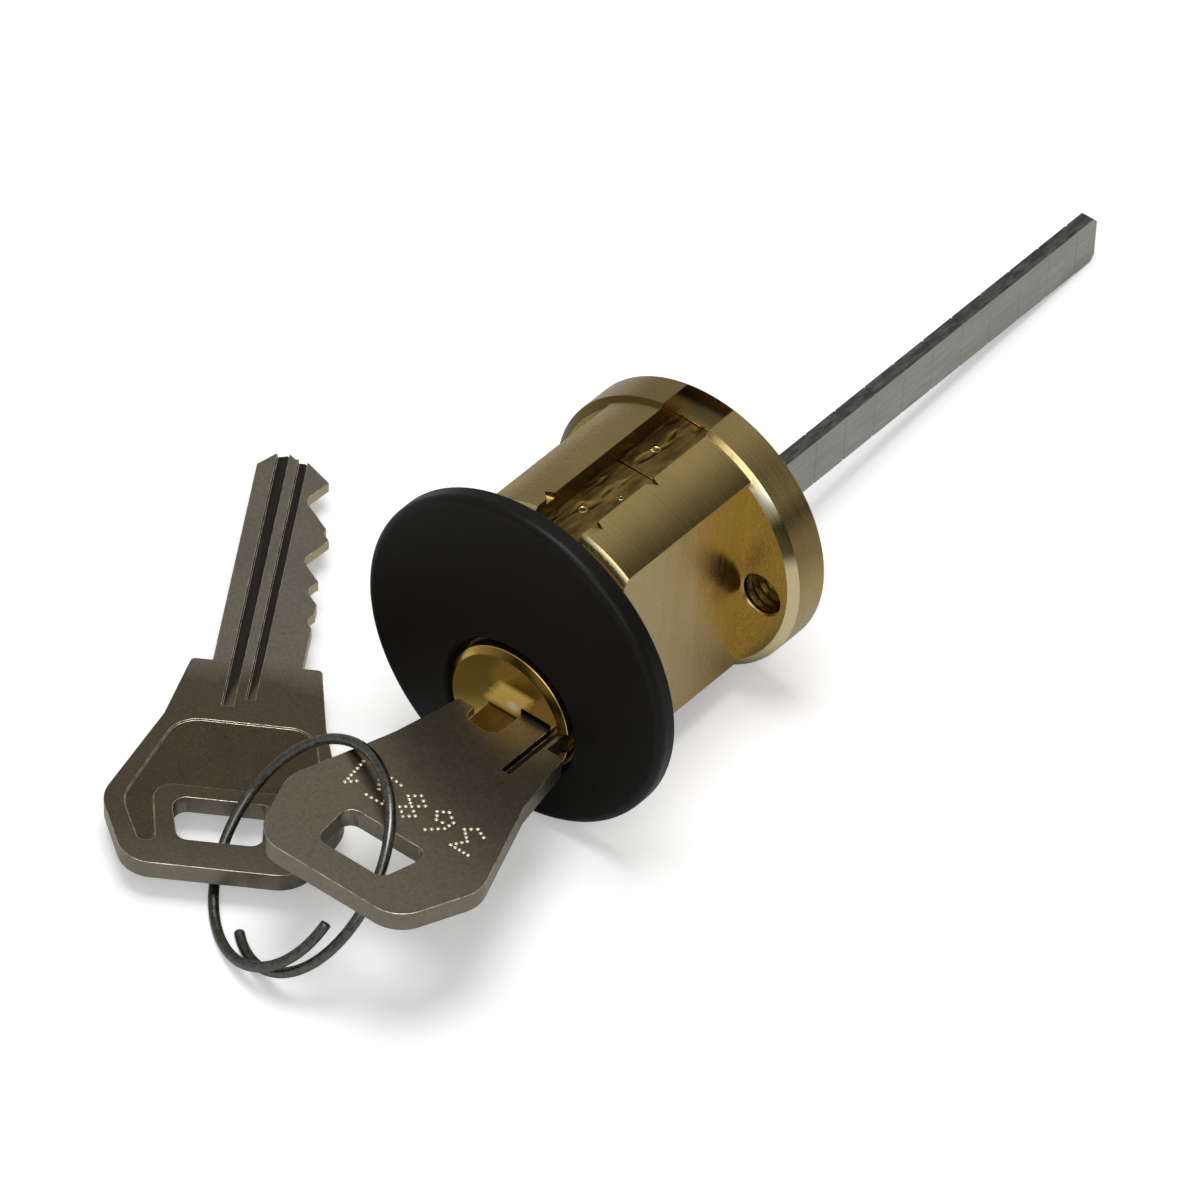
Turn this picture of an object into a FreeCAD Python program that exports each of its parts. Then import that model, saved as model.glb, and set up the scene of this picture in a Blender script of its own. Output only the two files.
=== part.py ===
# Rim cylinder lock with a black flange, a brass cylinder body, a turned plug with its key,
# a snap-off tail bar, a wire key ring and a spare key.
#
# Millimetres. The barrel's axis is Y: the key goes in from -Y and the tail bar leaves at +Y.
# +Z is up, the side of the pin chambers and of their cover strips. The origin lies on the
# barrel's axis in the back face of the flange, the face that lies against the door.

import FreeCAD, Part
import math
import os

import Sketcher

Vec = FreeCAD.Vector

# Cuts start and end this far outside the material.
OVER = 1.0

doc = FreeCAD.newDocument("rim_cylinder_lock")

# Driving dimensions: name, value, meaning.
SIZES = [
    ("flange_radius", 17.0, "outer radius of the flange"),
    ("flange_thick", 2.2, "flange thickness"),
    ("flange_round", 0.8, "rounding of the flange's front rim"),
    ("flange_break", 0.25, "broken back edge of the flange"),
    ("mouth_gap", 0.26, "gap between the plug's head and the flange"),
    ("mouth_step", 0.42, "wider front part of the flange's mouth"),
    ("mouth_deep", 1.2, "depth of that part"),
    ("mouth_round", 0.3, "rounding of the flange's mouth"),
    ("spigot_depth", 0.6, "depth of the body's end in the flange"),
    ("spigot_gap", 0.02, "gap round the body's end in the flange"),
    ("neck_radius", 12.3, "neck of the body behind the flange"),
    ("neck_length", 3.0, "length of the neck behind the flange"),
    ("barrel_radius", 13.65, "barrel of the body"),
    ("barrel_break", 0.6, "broken front edge of the barrel"),
    ("disc_front", 20.8, "front wall of the rear disc"),
    ("disc_radius", 14.1, "rear disc"),
    ("disc_rim", 0.85, "radial width of the disc's front chamfer"),
    ("disc_slope", 0.75, "axial length of the disc's front chamfer"),
    ("disc_break", 0.3, "broken rear edge of the disc"),
    ("body_length", 25.4, "rear face of the body"),
    ("flat_half", 8.0, "distance of each side flat from the axis"),
    ("screw_offset", 10.3, "distance of each tapped hole from the barrel's mid plane"),
    ("screw_drop", 1.1, "tapped holes below the barrel's axis"),
    ("screw_core", 2.1, "core radius of the M5 tapped holes"),
    ("screw_spot", 0.18, "countersink of the tapped holes"),
    ("slot_half", 2.6, "half width of the cover slot's mouth"),
    ("slot_under", 0.4, "undercut of the slot on each side"),
    ("cover_level", 11.25, "height of the undercut's roof"),
    ("cover_thick", 0.86, "thickness of the cover strips"),
    ("cover_play", 0.04, "play under and beside the cover strips"),
    ("cover_start", 0.1, "front end of the front cover strip"),
    ("cover_seam", 15.2, "joint between the two cover strips"),
    ("cover_split", 0.1, "gap at that joint"),
    ("cover_inset", 1.8, "rear end of the rear cover strip before the body's rear face"),
    ("cover_rest", 0.05, "gap behind the rear cover strip"),
    ("runout_radius", 2.6, "hollow in which the slot runs out in the disc"),
    ("stake_left", 5.4, "stake mark of the slot's left edge"),
    ("stake_right", 5.0, "front stake mark of the right edge"),
    ("stake_rear", 12.9, "rear stake mark of the right edge"),
    ("stake_width", 1.5, "width of a stake mark along the slot"),
    ("stake_reach", 0.95, "reach of a stake mark outward"),
    ("stake_depth", 0.9, "depth of a stake mark"),
    ("pin_count", 5, "number of pin chambers"),
    ("pin_first", 1.3, "axis of the front chamber"),
    ("pin_pitch", 3.85, "distance between chambers"),
    ("pin_radius", 1.42, "pins"),
    ("pin_gap", 0.055, "gap round the pins"),
    ("pin_break", 0.15, "broken edges of the pins"),
    ("pin_tip", 0.25, "flat tip radius of a key pin"),
    ("pin_cone", 0.8, "length of a key pin's cone"),
    ("pin_shear", 0.15, "key pin short of the plug's surface"),
    ("pin_rest", 0.02, "gap at the ends of the stacked pins"),
    ("driver_length", 4.6, "driver pins"),
    ("spring_wire", 0.15, "wire radius of the pin springs"),
    ("spring_radius", 1.12, "coil radius of the pin springs"),
    ("spring_turns", 6, "turns of a pin spring"),
    ("plug_drop", 5.85, "plug axis below the barrel's axis"),
    ("plug_radius", 6.45, "plug"),
    ("plug_gap", 0.04, "running gap round the plug"),
    ("head_radius", 6.75, "plug head"),
    ("head_front", 2.75, "front face of the plug before the flange's back face"),
    ("head_break", 0.6, "chamfer of the plug's face"),
    ("head_play", 0.05, "end play under the plug head"),
    ("clip_thick", 0.8, "retaining clip"),
    ("clip_play", 0.05, "end play of the retaining clip"),
    ("clip_core", 5.2, "radius of the clip's groove"),
    ("clip_gap", 0.05, "gap between the clip and its groove"),
    ("clip_radius", 7.9, "outer radius of the clip"),
    ("clip_mouth", 3.4, "half width of the clip's mouth"),
    ("land_length", 0.9, "plug behind the clip's groove"),
    ("boss_radius", 4.6, "boss that carries the tail bar"),
    ("boss_length", 2.9, "length of that boss"),
    ("tail_thick", 1.42, "tail bar thickness"),
    ("tail_half", 2.65, "half width of the tail bar"),
    ("tail_offset", 0.9, "tail bar's middle beside the plug's axis"),
    ("tail_inset", 5.1, "front end of the tail bar before the boss's rear end"),
    ("tail_length", 60.3, "tail bar length"),
    ("tail_slack", 0.25, "slack above, below and before the tail bar"),
    ("tail_side", 0.06, "gap beside the tail bar"),
    ("tail_break", 0.6, "broken corners of the tail bar's tip"),
    ("snap_start", 3.75, "first snap-off groove behind the boss"),
    ("snap_pitch", 4.4, "distance between snap-off grooves"),
    ("snap_count", 12, "number of snap-off grooves"),
    ("snap_depth", 0.15, "depth of a snap-off groove"),
    ("snap_width", 0.5, "width of a snap-off groove"),
    ("rivet_inset", 1.9, "axis of the tail rivet before the boss's rear end"),
    ("rivet_radius", 0.8, "tail rivet"),
    ("rivet_gap", 0.05, "gap round the rivet in the bar"),
    ("rivet_short", 0.25, "rivet ends inside the boss"),
    ("key_thick", 2.0, "key thickness"),
    ("key_seat", 4.8, "key shoulders before the flange's back face"),
    ("key_back", 6.35, "back edge of the blade beside the plug's axis"),
    ("blade_width", 8.3, "blade height, back edge to uncut edge"),
    ("blade_length", 27.5, "shoulders to tip"),
    ("tip_bevel", 1.9, "bevel of the tip at the back edge, along the blade"),
    ("tip_from", 1.5, "upper end of that bevel, from the back edge"),
    ("tip_fall", 0.35, "that end short of the tip"),
    ("tip_point", 2.6, "point of the tip, from the back edge"),
    ("tip_nose", 0.85, "nose beside the point"),
    ("tip_ledge", 0.8, "ledge beside the nose, short of the tip"),
    ("tip_wide", 0.95, "width of that ledge"),
    ("tip_slope", 4.8, "length of the tip's slope up to the uncut edge"),
    ("key_gap", 0.1, "gap between the key and the keyway"),
    ("key_stop", 0.3, "keyway deeper than the key's tip"),
    ("key_relief", 0.6, "keyway higher over the land of the key's upper face"),
    ("cut_first", 6.1, "first cut from the shoulders"),
    ("cut_flat", 0.3, "half width of a cut's root"),
    ("cut_slope", 0.72, "rise of a cut's flank for each mm along the blade"),
    ("root_one", 7.85, "root heights over the back edge, front to rear"),
    ("root_two", 7.3, ""),
    ("root_three", 6.35, ""),
    ("root_four", 7.6, ""),
    ("root_five", 5.4, ""),
    ("rib_place", 0.85, "narrow groove of the upper face, from the back edge"),
    ("rib_half", 0.5, "its half width"),
    ("rib_depth", 0.8, "its depth"),
    ("rib_runout", 4.8, "its end in the bow"),
    ("step_place", 4.55, "wide channel of the upper face, from the back edge"),
    ("step_depth", 0.9, "its depth"),
    ("step_runout", 1.8, "its end in the bow"),
    ("step_round", 1.2, "corners of that end"),
    ("vee_one", 2.25, "first groove of the lower face, from the back edge"),
    ("half_one", 0.55, "its half width"),
    ("runout_one", 5.6, "its end in the bow"),
    ("vee_two", 4.2, "second groove of the lower face"),
    ("half_two", 0.42, "its half width"),
    ("runout_two", 4.6, "its end in the bow"),
    ("vee_depth", 0.5, "depth of these grooves"),
    ("bow_length", 26.0, "shoulders to the end of the bow"),
    ("bow_back", 1.95, "shoulder beside the back edge"),
    ("bow_front", 1.8, "shoulder beside the uncut edge"),
    ("bow_shoulder", 0.5, "rounding of the shoulders"),
    ("bow_waist", 7.3, "upper corners of the bow, from the shoulders"),
    ("flare_front", 1.5, "flare there on the uncut edge's side"),
    ("flare_back", 1.35, "flare there on the back edge's side"),
    ("bow_widest", 18.2, "widest place of the bow, from the shoulders"),
    ("wide_front", 4.95, "flare there on the uncut edge's side"),
    ("wide_back", 5.35, "flare there on the back edge's side"),
    ("end_front", 2.1, "flare at the bow's end on the uncut edge's side"),
    ("end_back", 2.0, "flare at the bow's end on the back edge's side"),
    ("bow_round", 3.6, "rounding of the bow's corners"),
    ("bow_hole_top", 17.5, "bow hole, upper edge from the shoulders"),
    ("bow_hole_low", 22.7, "bow hole, lower edge from the shoulders"),
    ("hole_middle", 3.75, "middle of the bow hole, from the back edge"),
    ("hole_top_half", 4.75, "half width of the bow hole's upper edge"),
    ("hole_low_half", 3.8, "half width of the bow hole's lower edge"),
    ("hole_shift", 0.45, "lower edge's middle farther from the back edge"),
    ("bow_hole_round", 1.2, "corners of the bow hole"),
    ("panel_depth", 0.2, "recessed panel of the lower face"),
    ("panel_top", 7.6, "upper edge of the panel from the shoulders"),
    ("panel_rim", 0.9, "rim beside the panel's upper corner, uncut edge's side"),
    ("panel_edge", 1.35, "rim beside the panel's upper corner, back edge's side"),
    ("panel_side", 1.95, "rim beside the panel's widest corners"),
    ("panel_low", 23.2, "ends of the panel beside the bow hole"),
    ("panel_round", 3.0, "upper corners of the panel"),
    ("panel_turn", 3.4, "widest corners of the panel"),
    ("panel_bend", 1.6, "panel's corners over the bow hole"),
    ("panel_end", 0.7, "corners of the panel's ends"),
    ("panel_arm", 1.6, "width of the panel's ends"),
    ("hole_rim", 1.5, "raised rim over the bow hole"),
    ("hole_cheek", 1.9, "raised rim beside the bow hole"),
    ("ring_radius", 11.1, "key ring, to the wire's middle"),
    ("ring_wire", 0.5, "wire radius of the key ring"),
    ("ring_long", 48.0, "degrees that the long wire end runs past the crossing"),
    ("ring_short", 44.0, "degrees that the short wire end runs past the crossing"),
    ("ring_curl", 1.3, "how far the long wire end curls inward"),
    ("ring_curl_from", 140.0, "degrees from the ring's far side at which the ends curl"),
    ("ring_gap", 0.45, "gap between the crossing wires"),
    ("ring_x", -5.32, "middle of the key ring"),
    ("ring_y", -24.63, ""),
    ("ring_z", -11.39, ""),
    ("ring_yaw", 112.03, "attitude of the key ring, degrees"),
    ("ring_pitch", -33.76, ""),
    ("ring_roll", -40.51, ""),
    ("spare_x", -24.12, "place of the spare key"),
    ("spare_y", -4.83, ""),
    ("spare_z", -14.59, ""),
    ("spare_yaw", -149.06, "attitude of the spare key, degrees"),
    ("spare_pitch", 2.27, ""),
    ("spare_roll", 176.77, ""),
]

sheet = doc.addObject("Spreadsheet::Sheet", "Sizes")
for row, (name, value, meaning) in enumerate(SIZES, start=1):
    sheet.set("A%d" % row, name)
    sheet.set("B%d" % row, str(value))
    sheet.set("C%d" % row, meaning)
    sheet.setAlias("B%d" % row, name)
doc.recompute()


class Size:
    """A number with the sheet expression that yields it."""

    def __init__(self, number, text):
        self.number = float(number)
        self.text = text

    def __add__(self, other):
        other = as_size(other)
        return Size(self.number + other.number, "(%s + %s)" % (self.text, other.text))

    def __sub__(self, other):
        other = as_size(other)
        return Size(self.number - other.number, "(%s - %s)" % (self.text, other.text))

    def __mul__(self, other):
        other = as_size(other)
        return Size(self.number * other.number, "(%s * %s)" % (self.text, other.text))

    def __truediv__(self, other):
        other = as_size(other)
        return Size(self.number / other.number, "(%s / %s)" % (self.text, other.text))

    def __radd__(self, other):
        return as_size(other) + self

    def __rsub__(self, other):
        return as_size(other) - self

    def __rmul__(self, other):
        return as_size(other) * self

    def __neg__(self):
        return Size(-self.number, "(0 - %s)" % self.text)


def as_size(value):
    if isinstance(value, Size):
        return value
    return Size(value, repr(float(value)))


class Sizes:
    """The sheet's values by name."""

    def __getattr__(self, name):
        return Size(getattr(sheet, name), "Sizes." + name)


S = Sizes()


# Drawing helpers

def new_body(label, x=0, y=0, z=0):
    body = doc.addObject("PartDesign::Body", label)
    body.Label = label
    body.setExpression("Placement.Base.x", as_size(x).text)
    body.setExpression("Placement.Base.y", as_size(y).text)
    body.setExpression("Placement.Base.z", as_size(z).text)
    return body


def new_sketch(body, name, plane, offset=0):
    """Sketch on an origin plane of the body, moved along that plane's normal."""
    sketch = body.newObject("Sketcher::SketchObject", body.Name + "_" + name)
    support = [f for f in body.Origin.OriginFeatures if f.Role == plane][0]
    sketch.AttachmentSupport = [(support, "")]
    sketch.MapMode = "FlatFace"
    sketch.setExpression("AttachmentOffset.Base.z", as_size(offset).text)
    return sketch


def bind(sketch, kind, place, value):
    value = as_size(value)
    index = sketch.addConstraint(Sketcher.Constraint(kind, *place, value.number))
    sketch.setExpression("Constraints[%d]" % index, value.text)


def draw_circle(sketch, x, y, radius):
    x, y, radius = as_size(x), as_size(y), as_size(radius)
    centre = Vec(x.number, y.number, 0)
    index = sketch.addGeometry(Part.Circle(centre, Vec(0, 0, 1), radius.number), False)
    bind(sketch, "Radius", (index,), radius)
    bind(sketch, "DistanceX", (-1, 1, index, 3), x)
    bind(sketch, "DistanceY", (-1, 1, index, 3), y)


def draw_polygon(sketch, points):
    points = [(as_size(x), as_size(y)) for x, y in points]
    first = sketch.GeometryCount
    count = len(points)
    for i in range(count):
        x1, y1 = points[i]
        x2, y2 = points[(i + 1) % count]
        start = Vec(x1.number, y1.number, 0)
        end = Vec(x2.number, y2.number, 0)
        sketch.addGeometry(Part.LineSegment(start, end), False)
    for i in range(count):
        after = first + (i + 1) % count
        sketch.addConstraint(Sketcher.Constraint("Coincident", first + i, 2, after, 1))
    for i, (x, y) in enumerate(points):
        bind(sketch, "DistanceX", (-1, 1, first + i, 1), x)
        bind(sketch, "DistanceY", (-1, 1, first + i, 1), y)


def draw_box(sketch, left, right, low, high):
    draw_polygon(sketch, [(left, low), (right, low), (right, high), (left, high)])


def feature(body, kind, name, sketch):
    made = body.newObject("PartDesign::" + kind, body.Name + "_" + name)
    made.Profile = sketch
    sketch.Visibility = False
    return made


def pad(body, name, sketch, length, reverse=False):
    made = feature(body, "Pad", name, sketch)
    made.setExpression("Length", as_size(length).text)
    made.Reversed = reverse
    return made


def pocket(body, name, sketch, length, reverse=False):
    """Cut against the sketch's normal, or along it when reversed."""
    made = feature(body, "Pocket", name, sketch)
    made.setExpression("Length", as_size(length).text)
    made.Reversed = reverse
    return made


def revolve(body, name, sketch, axis="H_Axis"):
    made = feature(body, "Revolution", name, sketch)
    made.ReferenceAxis = (sketch, [axis])
    made.Angle = 360
    return made


def edges_of(made, test):
    """Names of the edges of a feature for which the test holds."""
    doc.recompute()
    found = []
    for index, edge in enumerate(made.Shape.Edges, start=1):
        if test(edge):
            found.append("Edge%d" % index)
    return found


def is_circle(edge, radius, y=None):
    curve = edge.Curve
    if not isinstance(curve, Part.Circle) or abs(curve.Radius - radius) > 1e-4:
        return False
    return y is None or abs(curve.Center.y - y) < 1e-4


def is_upright(edge):
    """A straight edge along Z."""
    if not isinstance(edge.Curve, Part.Line):
        return False
    return abs(abs(edge.tangentAt(edge.FirstParameter).z) - 1) < 1e-6


def dress(body, kind, name, base, edges, size):
    made = body.newObject("PartDesign::" + kind, body.Name + "_" + name)
    made.Base = (base, edges)
    made.setExpression("Radius" if kind == "Fillet" else "Size", as_size(size).text)
    return made


# Flange: a turned disc with the body's end let into its back and the plug's mouth below its
# centre.

flange = new_body("flange")
sketch = new_sketch(flange, "profile", "YZ_Plane")
draw_polygon(sketch, [
    (-S.flange_thick, 0),
    (-S.flange_thick, S.flange_radius),
    (0, S.flange_radius),
    (0, S.neck_radius + S.spigot_gap),
    (-S.spigot_depth, S.neck_radius + S.spigot_gap),
    (-S.spigot_depth, 0),
])
turned = revolve(flange, "turned", sketch)
sketch = new_sketch(flange, "mouth", "XZ_Plane", S.flange_thick + OVER)
draw_circle(sketch, 0, -S.plug_drop, S.head_radius + S.mouth_gap)
pocket(flange, "mouth_cut", sketch, S.flange_thick + 2 * OVER)
mouth_wide = S.head_radius + S.mouth_gap + S.mouth_step
sketch = new_sketch(flange, "mouth_front", "XZ_Plane", S.flange_thick + OVER)
draw_circle(sketch, 0, -S.plug_drop, mouth_wide)
mouth = pocket(flange, "mouth_front_cut", sketch, S.mouth_deep + OVER)
front = -S.flange_thick.number
rim = edges_of(mouth, lambda e: is_circle(e, S.flange_radius.number, front))
rounded = dress(flange, "Fillet", "rim", mouth, rim, S.flange_round)
lip = edges_of(rounded, lambda e: is_circle(e, mouth_wide.number, front))
eased = dress(flange, "Fillet", "lip", rounded, lip, S.mouth_round)
back = edges_of(eased, lambda e: is_circle(e, S.flange_radius.number, 0))
dress(flange, "Chamfer", "back", eased, back, S.flange_break)


# Cylinder body: turned neck and barrel with milled side flats, the rear disc, the slot for
# the chamber covers, the plug's bore, five chambers and two tapped holes. The slot runs out
# in a hollow in the disc.

cylinder = new_body("cylinder_body")
barrel_end = S.disc_front + S.disc_slope
sketch = new_sketch(cylinder, "profile", "YZ_Plane")
draw_polygon(sketch, [
    (-S.spigot_depth, 0),
    (-S.spigot_depth, S.neck_radius),
    (S.neck_length, S.neck_radius),
    (S.neck_length, S.barrel_radius - S.barrel_break),
    (S.neck_length + S.barrel_break, S.barrel_radius),
    (barrel_end, S.barrel_radius),
    (barrel_end, 0),
])
revolve(cylinder, "turned", sketch)

sketch = new_sketch(cylinder, "flats", "XZ_Plane")
reach = S.disc_radius + 2 * OVER
draw_box(sketch, S.flat_half, reach, -reach, reach)
draw_box(sketch, -reach, -S.flat_half, -reach, reach)
pocket(cylinder, "flats_cut", sketch, barrel_end + OVER)

sketch = new_sketch(cylinder, "disc_profile", "YZ_Plane")
draw_polygon(sketch, [
    (S.disc_front, 0),
    (S.disc_front, S.disc_radius - S.disc_rim),
    (barrel_end, S.disc_radius),
    (S.body_length - S.disc_break, S.disc_radius),
    (S.body_length, S.disc_radius - S.disc_break),
    (S.body_length, 0),
])
revolve(cylinder, "disc", sketch)

slot_floor = S.cover_level - S.cover_thick - S.cover_play
slot_wide = S.slot_half + S.slot_under
sketch = new_sketch(cylinder, "slot", "XZ_Plane", S.spigot_depth + OVER)
draw_polygon(sketch, [
    (-S.slot_half, reach),
    (-S.slot_half, S.cover_level),
    (-slot_wide, S.cover_level),
    (-slot_wide, slot_floor),
    (slot_wide, slot_floor),
    (slot_wide, S.cover_level),
    (S.slot_half, S.cover_level),
    (S.slot_half, reach),
])
cover_end = S.body_length - S.cover_inset
pocket(cylinder, "slot_cut", sketch, S.spigot_depth + OVER + cover_end + S.cover_rest)

sketch = new_sketch(cylinder, "runout", "YZ_Plane", S.slot_half)
runout_place = S.body_length - S.disc_break - S.runout_radius
draw_circle(sketch, runout_place, S.cover_level + S.runout_radius, S.runout_radius)
pocket(cylinder, "runout_cut", sketch, S.slot_half * 2)

sketch = new_sketch(cylinder, "bore", "XZ_Plane", S.spigot_depth + OVER)
draw_circle(sketch, 0, -S.plug_drop, S.plug_radius + S.plug_gap)
pocket(cylinder, "bore_cut", sketch, S.spigot_depth + S.body_length + 2 * OVER)

sketch = new_sketch(cylinder, "screws", "XZ_Plane", -(S.disc_front - OVER))
draw_circle(sketch, S.screw_offset, -S.screw_drop, S.screw_core)
draw_circle(sketch, -S.screw_offset, -S.screw_drop, S.screw_core)
screws = pocket(cylinder, "screws_cut", sketch, S.body_length - S.disc_front + 2 * OVER)
core = S.screw_core.number
spots = edges_of(screws, lambda e: is_circle(e, core, S.body_length.number))
spots += edges_of(screws, lambda e: is_circle(e, core, S.disc_front.number))
dress(cylinder, "Chamfer", "spots", screws, spots, S.screw_spot)

pin_number = int(round(S.pin_count.number))
sketch = new_sketch(cylinder, "chambers", "XY_Plane", slot_floor)
for i in range(pin_number):
    draw_circle(sketch, 0, S.pin_first + S.pin_pitch * i, S.pin_radius + S.pin_gap)
pocket(cylinder, "chambers_cut", sketch, slot_floor + S.plug_drop)

# Stake marks: the chisel marks that close the slot over the cover strips.
sketch = new_sketch(cylinder, "stakes", "XY_Plane", S.barrel_radius + OVER)
for side, place in ((-1, S.stake_left), (1, S.stake_right), (1, S.stake_rear)):
    draw_polygon(sketch, [
        (side * (S.slot_half - 0.2), place - S.stake_width / 2),
        (side * (S.slot_half - 0.2), place + S.stake_width / 2),
        (side * (S.slot_half + S.stake_reach), place + S.stake_width / 4),
    ])
pocket(cylinder, "stakes_cut", sketch, S.stake_depth + OVER)


# Cover strips over the chambers.

def cover(label, start, end):
    body = new_body(label)
    half = slot_wide - S.cover_play
    sketch = new_sketch(body, "section", "XZ_Plane", -start)
    draw_box(sketch, -half, half, S.cover_level - S.cover_thick, S.cover_level)
    pad(body, "strip", sketch, end - start, reverse=True)
    return body


cover("cover_front", S.cover_start, S.cover_seam - S.cover_split / 2)
cover("cover_rear", S.cover_seam + S.cover_split / 2, cover_end)


# Plug: head, keyway, chambers and a rear boss. It is drawn about its own axis and turned a
# quarter turn from the place where the key goes in, as photographed: the key's cuts face -X.

plug_shoulder = -S.spigot_depth - S.head_play
groove_front = S.body_length + S.clip_play
groove_rear = groove_front + S.clip_thick + S.clip_play
boss_front = groove_rear + S.land_length
boss_rear = boss_front + S.boss_length
rivet_place = boss_rear - S.rivet_inset
tail_root = boss_rear - S.tail_inset
tail_tip = tail_root + S.tail_length
snap_first = boss_rear + S.snap_start

plug = new_body("plug", z=-S.plug_drop)
sketch = new_sketch(plug, "profile", "YZ_Plane")
draw_polygon(sketch, [
    (-S.head_front, 0),
    (-S.head_front, S.head_radius - S.head_break),
    (-S.head_front + S.head_break, S.head_radius),
    (plug_shoulder, S.head_radius),
    (plug_shoulder, S.plug_radius),
    (groove_front, S.plug_radius),
    (groove_front, S.clip_core),
    (groove_rear, S.clip_core),
    (groove_rear, S.plug_radius),
    (boss_front, S.plug_radius),
    (boss_front, S.boss_radius),
    (boss_rear, S.boss_radius),
    (boss_rear, 0),
])
revolve(plug, "turned", sketch)

# Keyway: the blade's section with a gap all round, open at the plug's side and higher over
# the land between the channel and the narrow groove.
half = S.key_thick / 2
gap = S.key_gap
edge = S.key_back - S.blade_width
rib = S.key_back - S.rib_place
step = S.key_back - S.step_place
vee_one = S.key_back - S.vee_one
vee_two = S.key_back - S.vee_two
keyway_end = -S.key_seat + S.blade_length + S.key_stop
sketch = new_sketch(plug, "keyway", "XZ_Plane", S.head_front + OVER)
draw_polygon(sketch, [
    (edge - gap, half - S.step_depth + gap),
    (step - gap, half - S.step_depth + gap),
    (step - gap, half + gap + S.key_relief),
    (rib - S.rib_half + gap, half + gap + S.key_relief),
    (rib - S.rib_half + gap, half - S.rib_depth + gap),
    (rib + S.rib_half - gap, half - S.rib_depth + gap),
    (rib + S.rib_half - gap, half + gap),
    (S.head_radius + OVER, half + gap),
    (S.head_radius + OVER, -half - gap),
    (vee_one + S.half_one - gap, -half - gap),
    (vee_one + S.half_one - gap, -half + S.vee_depth - gap),
    (vee_one - S.half_one + gap, -half + S.vee_depth - gap),
    (vee_one - S.half_one + gap, -half - gap),
    (vee_two + S.half_two - gap, -half - gap),
    (vee_two + S.half_two - gap, -half + S.vee_depth - gap),
    (vee_two - S.half_two + gap, -half + S.vee_depth - gap),
    (vee_two - S.half_two + gap, -half - gap),
    (edge - gap, -half - gap),
])
pocket(plug, "keyway_cut", sketch, keyway_end + S.head_front + OVER)

# The chambers reach past the lowest cut that the key may have.
roots = [S.root_one, S.root_two, S.root_three, S.root_four, S.root_five]
chamber_end = S.key_back - S.root_five + S.pin_cone
sketch = new_sketch(plug, "chambers", "YZ_Plane", chamber_end)
for i in range(pin_number):
    draw_circle(sketch, S.pin_first + S.pin_pitch * i, 0, S.pin_radius + S.pin_gap)
pocket(plug, "chambers_cut", sketch, chamber_end + S.plug_radius + OVER)

slot_side = S.tail_thick / 2 + S.tail_side
slot_high = S.tail_half + S.tail_slack
sketch = new_sketch(plug, "tail_slot", "XZ_Plane", -boss_rear)
draw_box(sketch, -S.tail_offset - slot_side, -S.tail_offset + slot_side, -slot_high, slot_high)
pocket(plug, "tail_slot_cut", sketch, boss_rear - tail_root + S.tail_slack, reverse=True)

sketch = new_sketch(plug, "rivet_hole", "YZ_Plane", S.boss_radius + OVER)
draw_circle(sketch, rivet_place, 0, S.rivet_radius)
pocket(plug, "rivet_cut", sketch, (S.boss_radius + OVER) * 2)


# Retaining clip in the plug's groove.

clip = new_body("plug_clip", z=-S.plug_drop)
clip_bore = S.clip_core + S.clip_gap
clip_front = S.body_length + S.clip_play * 1.5
sketch = new_sketch(clip, "section", "XZ_Plane", -clip_front)
draw_circle(sketch, 0, 0, S.clip_radius)
draw_circle(sketch, 0, 0, clip_bore)
pad(clip, "ring", sketch, S.clip_thick, reverse=True)
sketch = new_sketch(clip, "mouth", "XZ_Plane", -clip_front + OVER)
draw_box(sketch, -S.clip_mouth, S.clip_mouth, -S.clip_radius - OVER, 0)
pocket(clip, "mouth_cut", sketch, S.clip_thick + 2 * OVER)


# Tail bar: a flat bar with snap-off grooves across both broad faces and its two edges, held
# loosely on a rivet so that it can find the lock case's cam.

tail = new_body("tail_bar", z=-S.plug_drop)
tail_left = -S.tail_offset - S.tail_thick / 2
tail_right = -S.tail_offset + S.tail_thick / 2
sketch = new_sketch(tail, "outline", "YZ_Plane", tail_left)
draw_polygon(sketch, [
    (tail_root, -S.tail_half),
    (tail_tip - S.tail_break, -S.tail_half),
    (tail_tip, -S.tail_half + S.tail_break),
    (tail_tip, S.tail_half - S.tail_break),
    (tail_tip - S.tail_break, S.tail_half),
    (tail_root, S.tail_half),
])
draw_circle(sketch, rivet_place, 0, S.rivet_radius + S.rivet_gap)
pad(tail, "bar", sketch, S.tail_thick)


def snap_row(name, plane, offset, low, high, depth, length):
    """One pair of V grooves on opposite faces, repeated along the bar."""
    sketch = new_sketch(tail, name, plane, offset)
    for face, way in ((low, 1), (high, -1)):
        if plane == "XY_Plane":
            draw_polygon(sketch, [
                (face - way * 0.2, snap_first - S.snap_width / 2),
                (face + way * depth, snap_first),
                (face - way * 0.2, snap_first + S.snap_width / 2),
            ])
        else:
            draw_polygon(sketch, [
                (snap_first - S.snap_width / 2, face - way * 0.2),
                (snap_first, face + way * depth),
                (snap_first + S.snap_width / 2, face - way * 0.2),
            ])
    cut = pocket(tail, name + "_cut", sketch, length)
    row = tail.newObject("PartDesign::LinearPattern", tail.Name + "_" + name + "_row")
    row.Originals = [cut]
    axis = [f for f in tail.Origin.OriginFeatures if f.Role == "Y_Axis"][0]
    row.Direction = (axis, [""])
    row.setExpression("Length", (S.snap_pitch * (S.snap_count - 1)).text)
    row.setExpression("Occurrences", S.snap_count.text)
    tail.Tip = row
    return row


snap_row("face_grooves", "XY_Plane", S.tail_half + OVER, tail_left, tail_right, S.snap_depth,
         (S.tail_half + OVER) * 2)
snap_row("edge_grooves", "YZ_Plane", tail_right + OVER, -S.tail_half, S.tail_half,
         S.snap_depth * 0.8, S.tail_thick + 2 * OVER)

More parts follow.
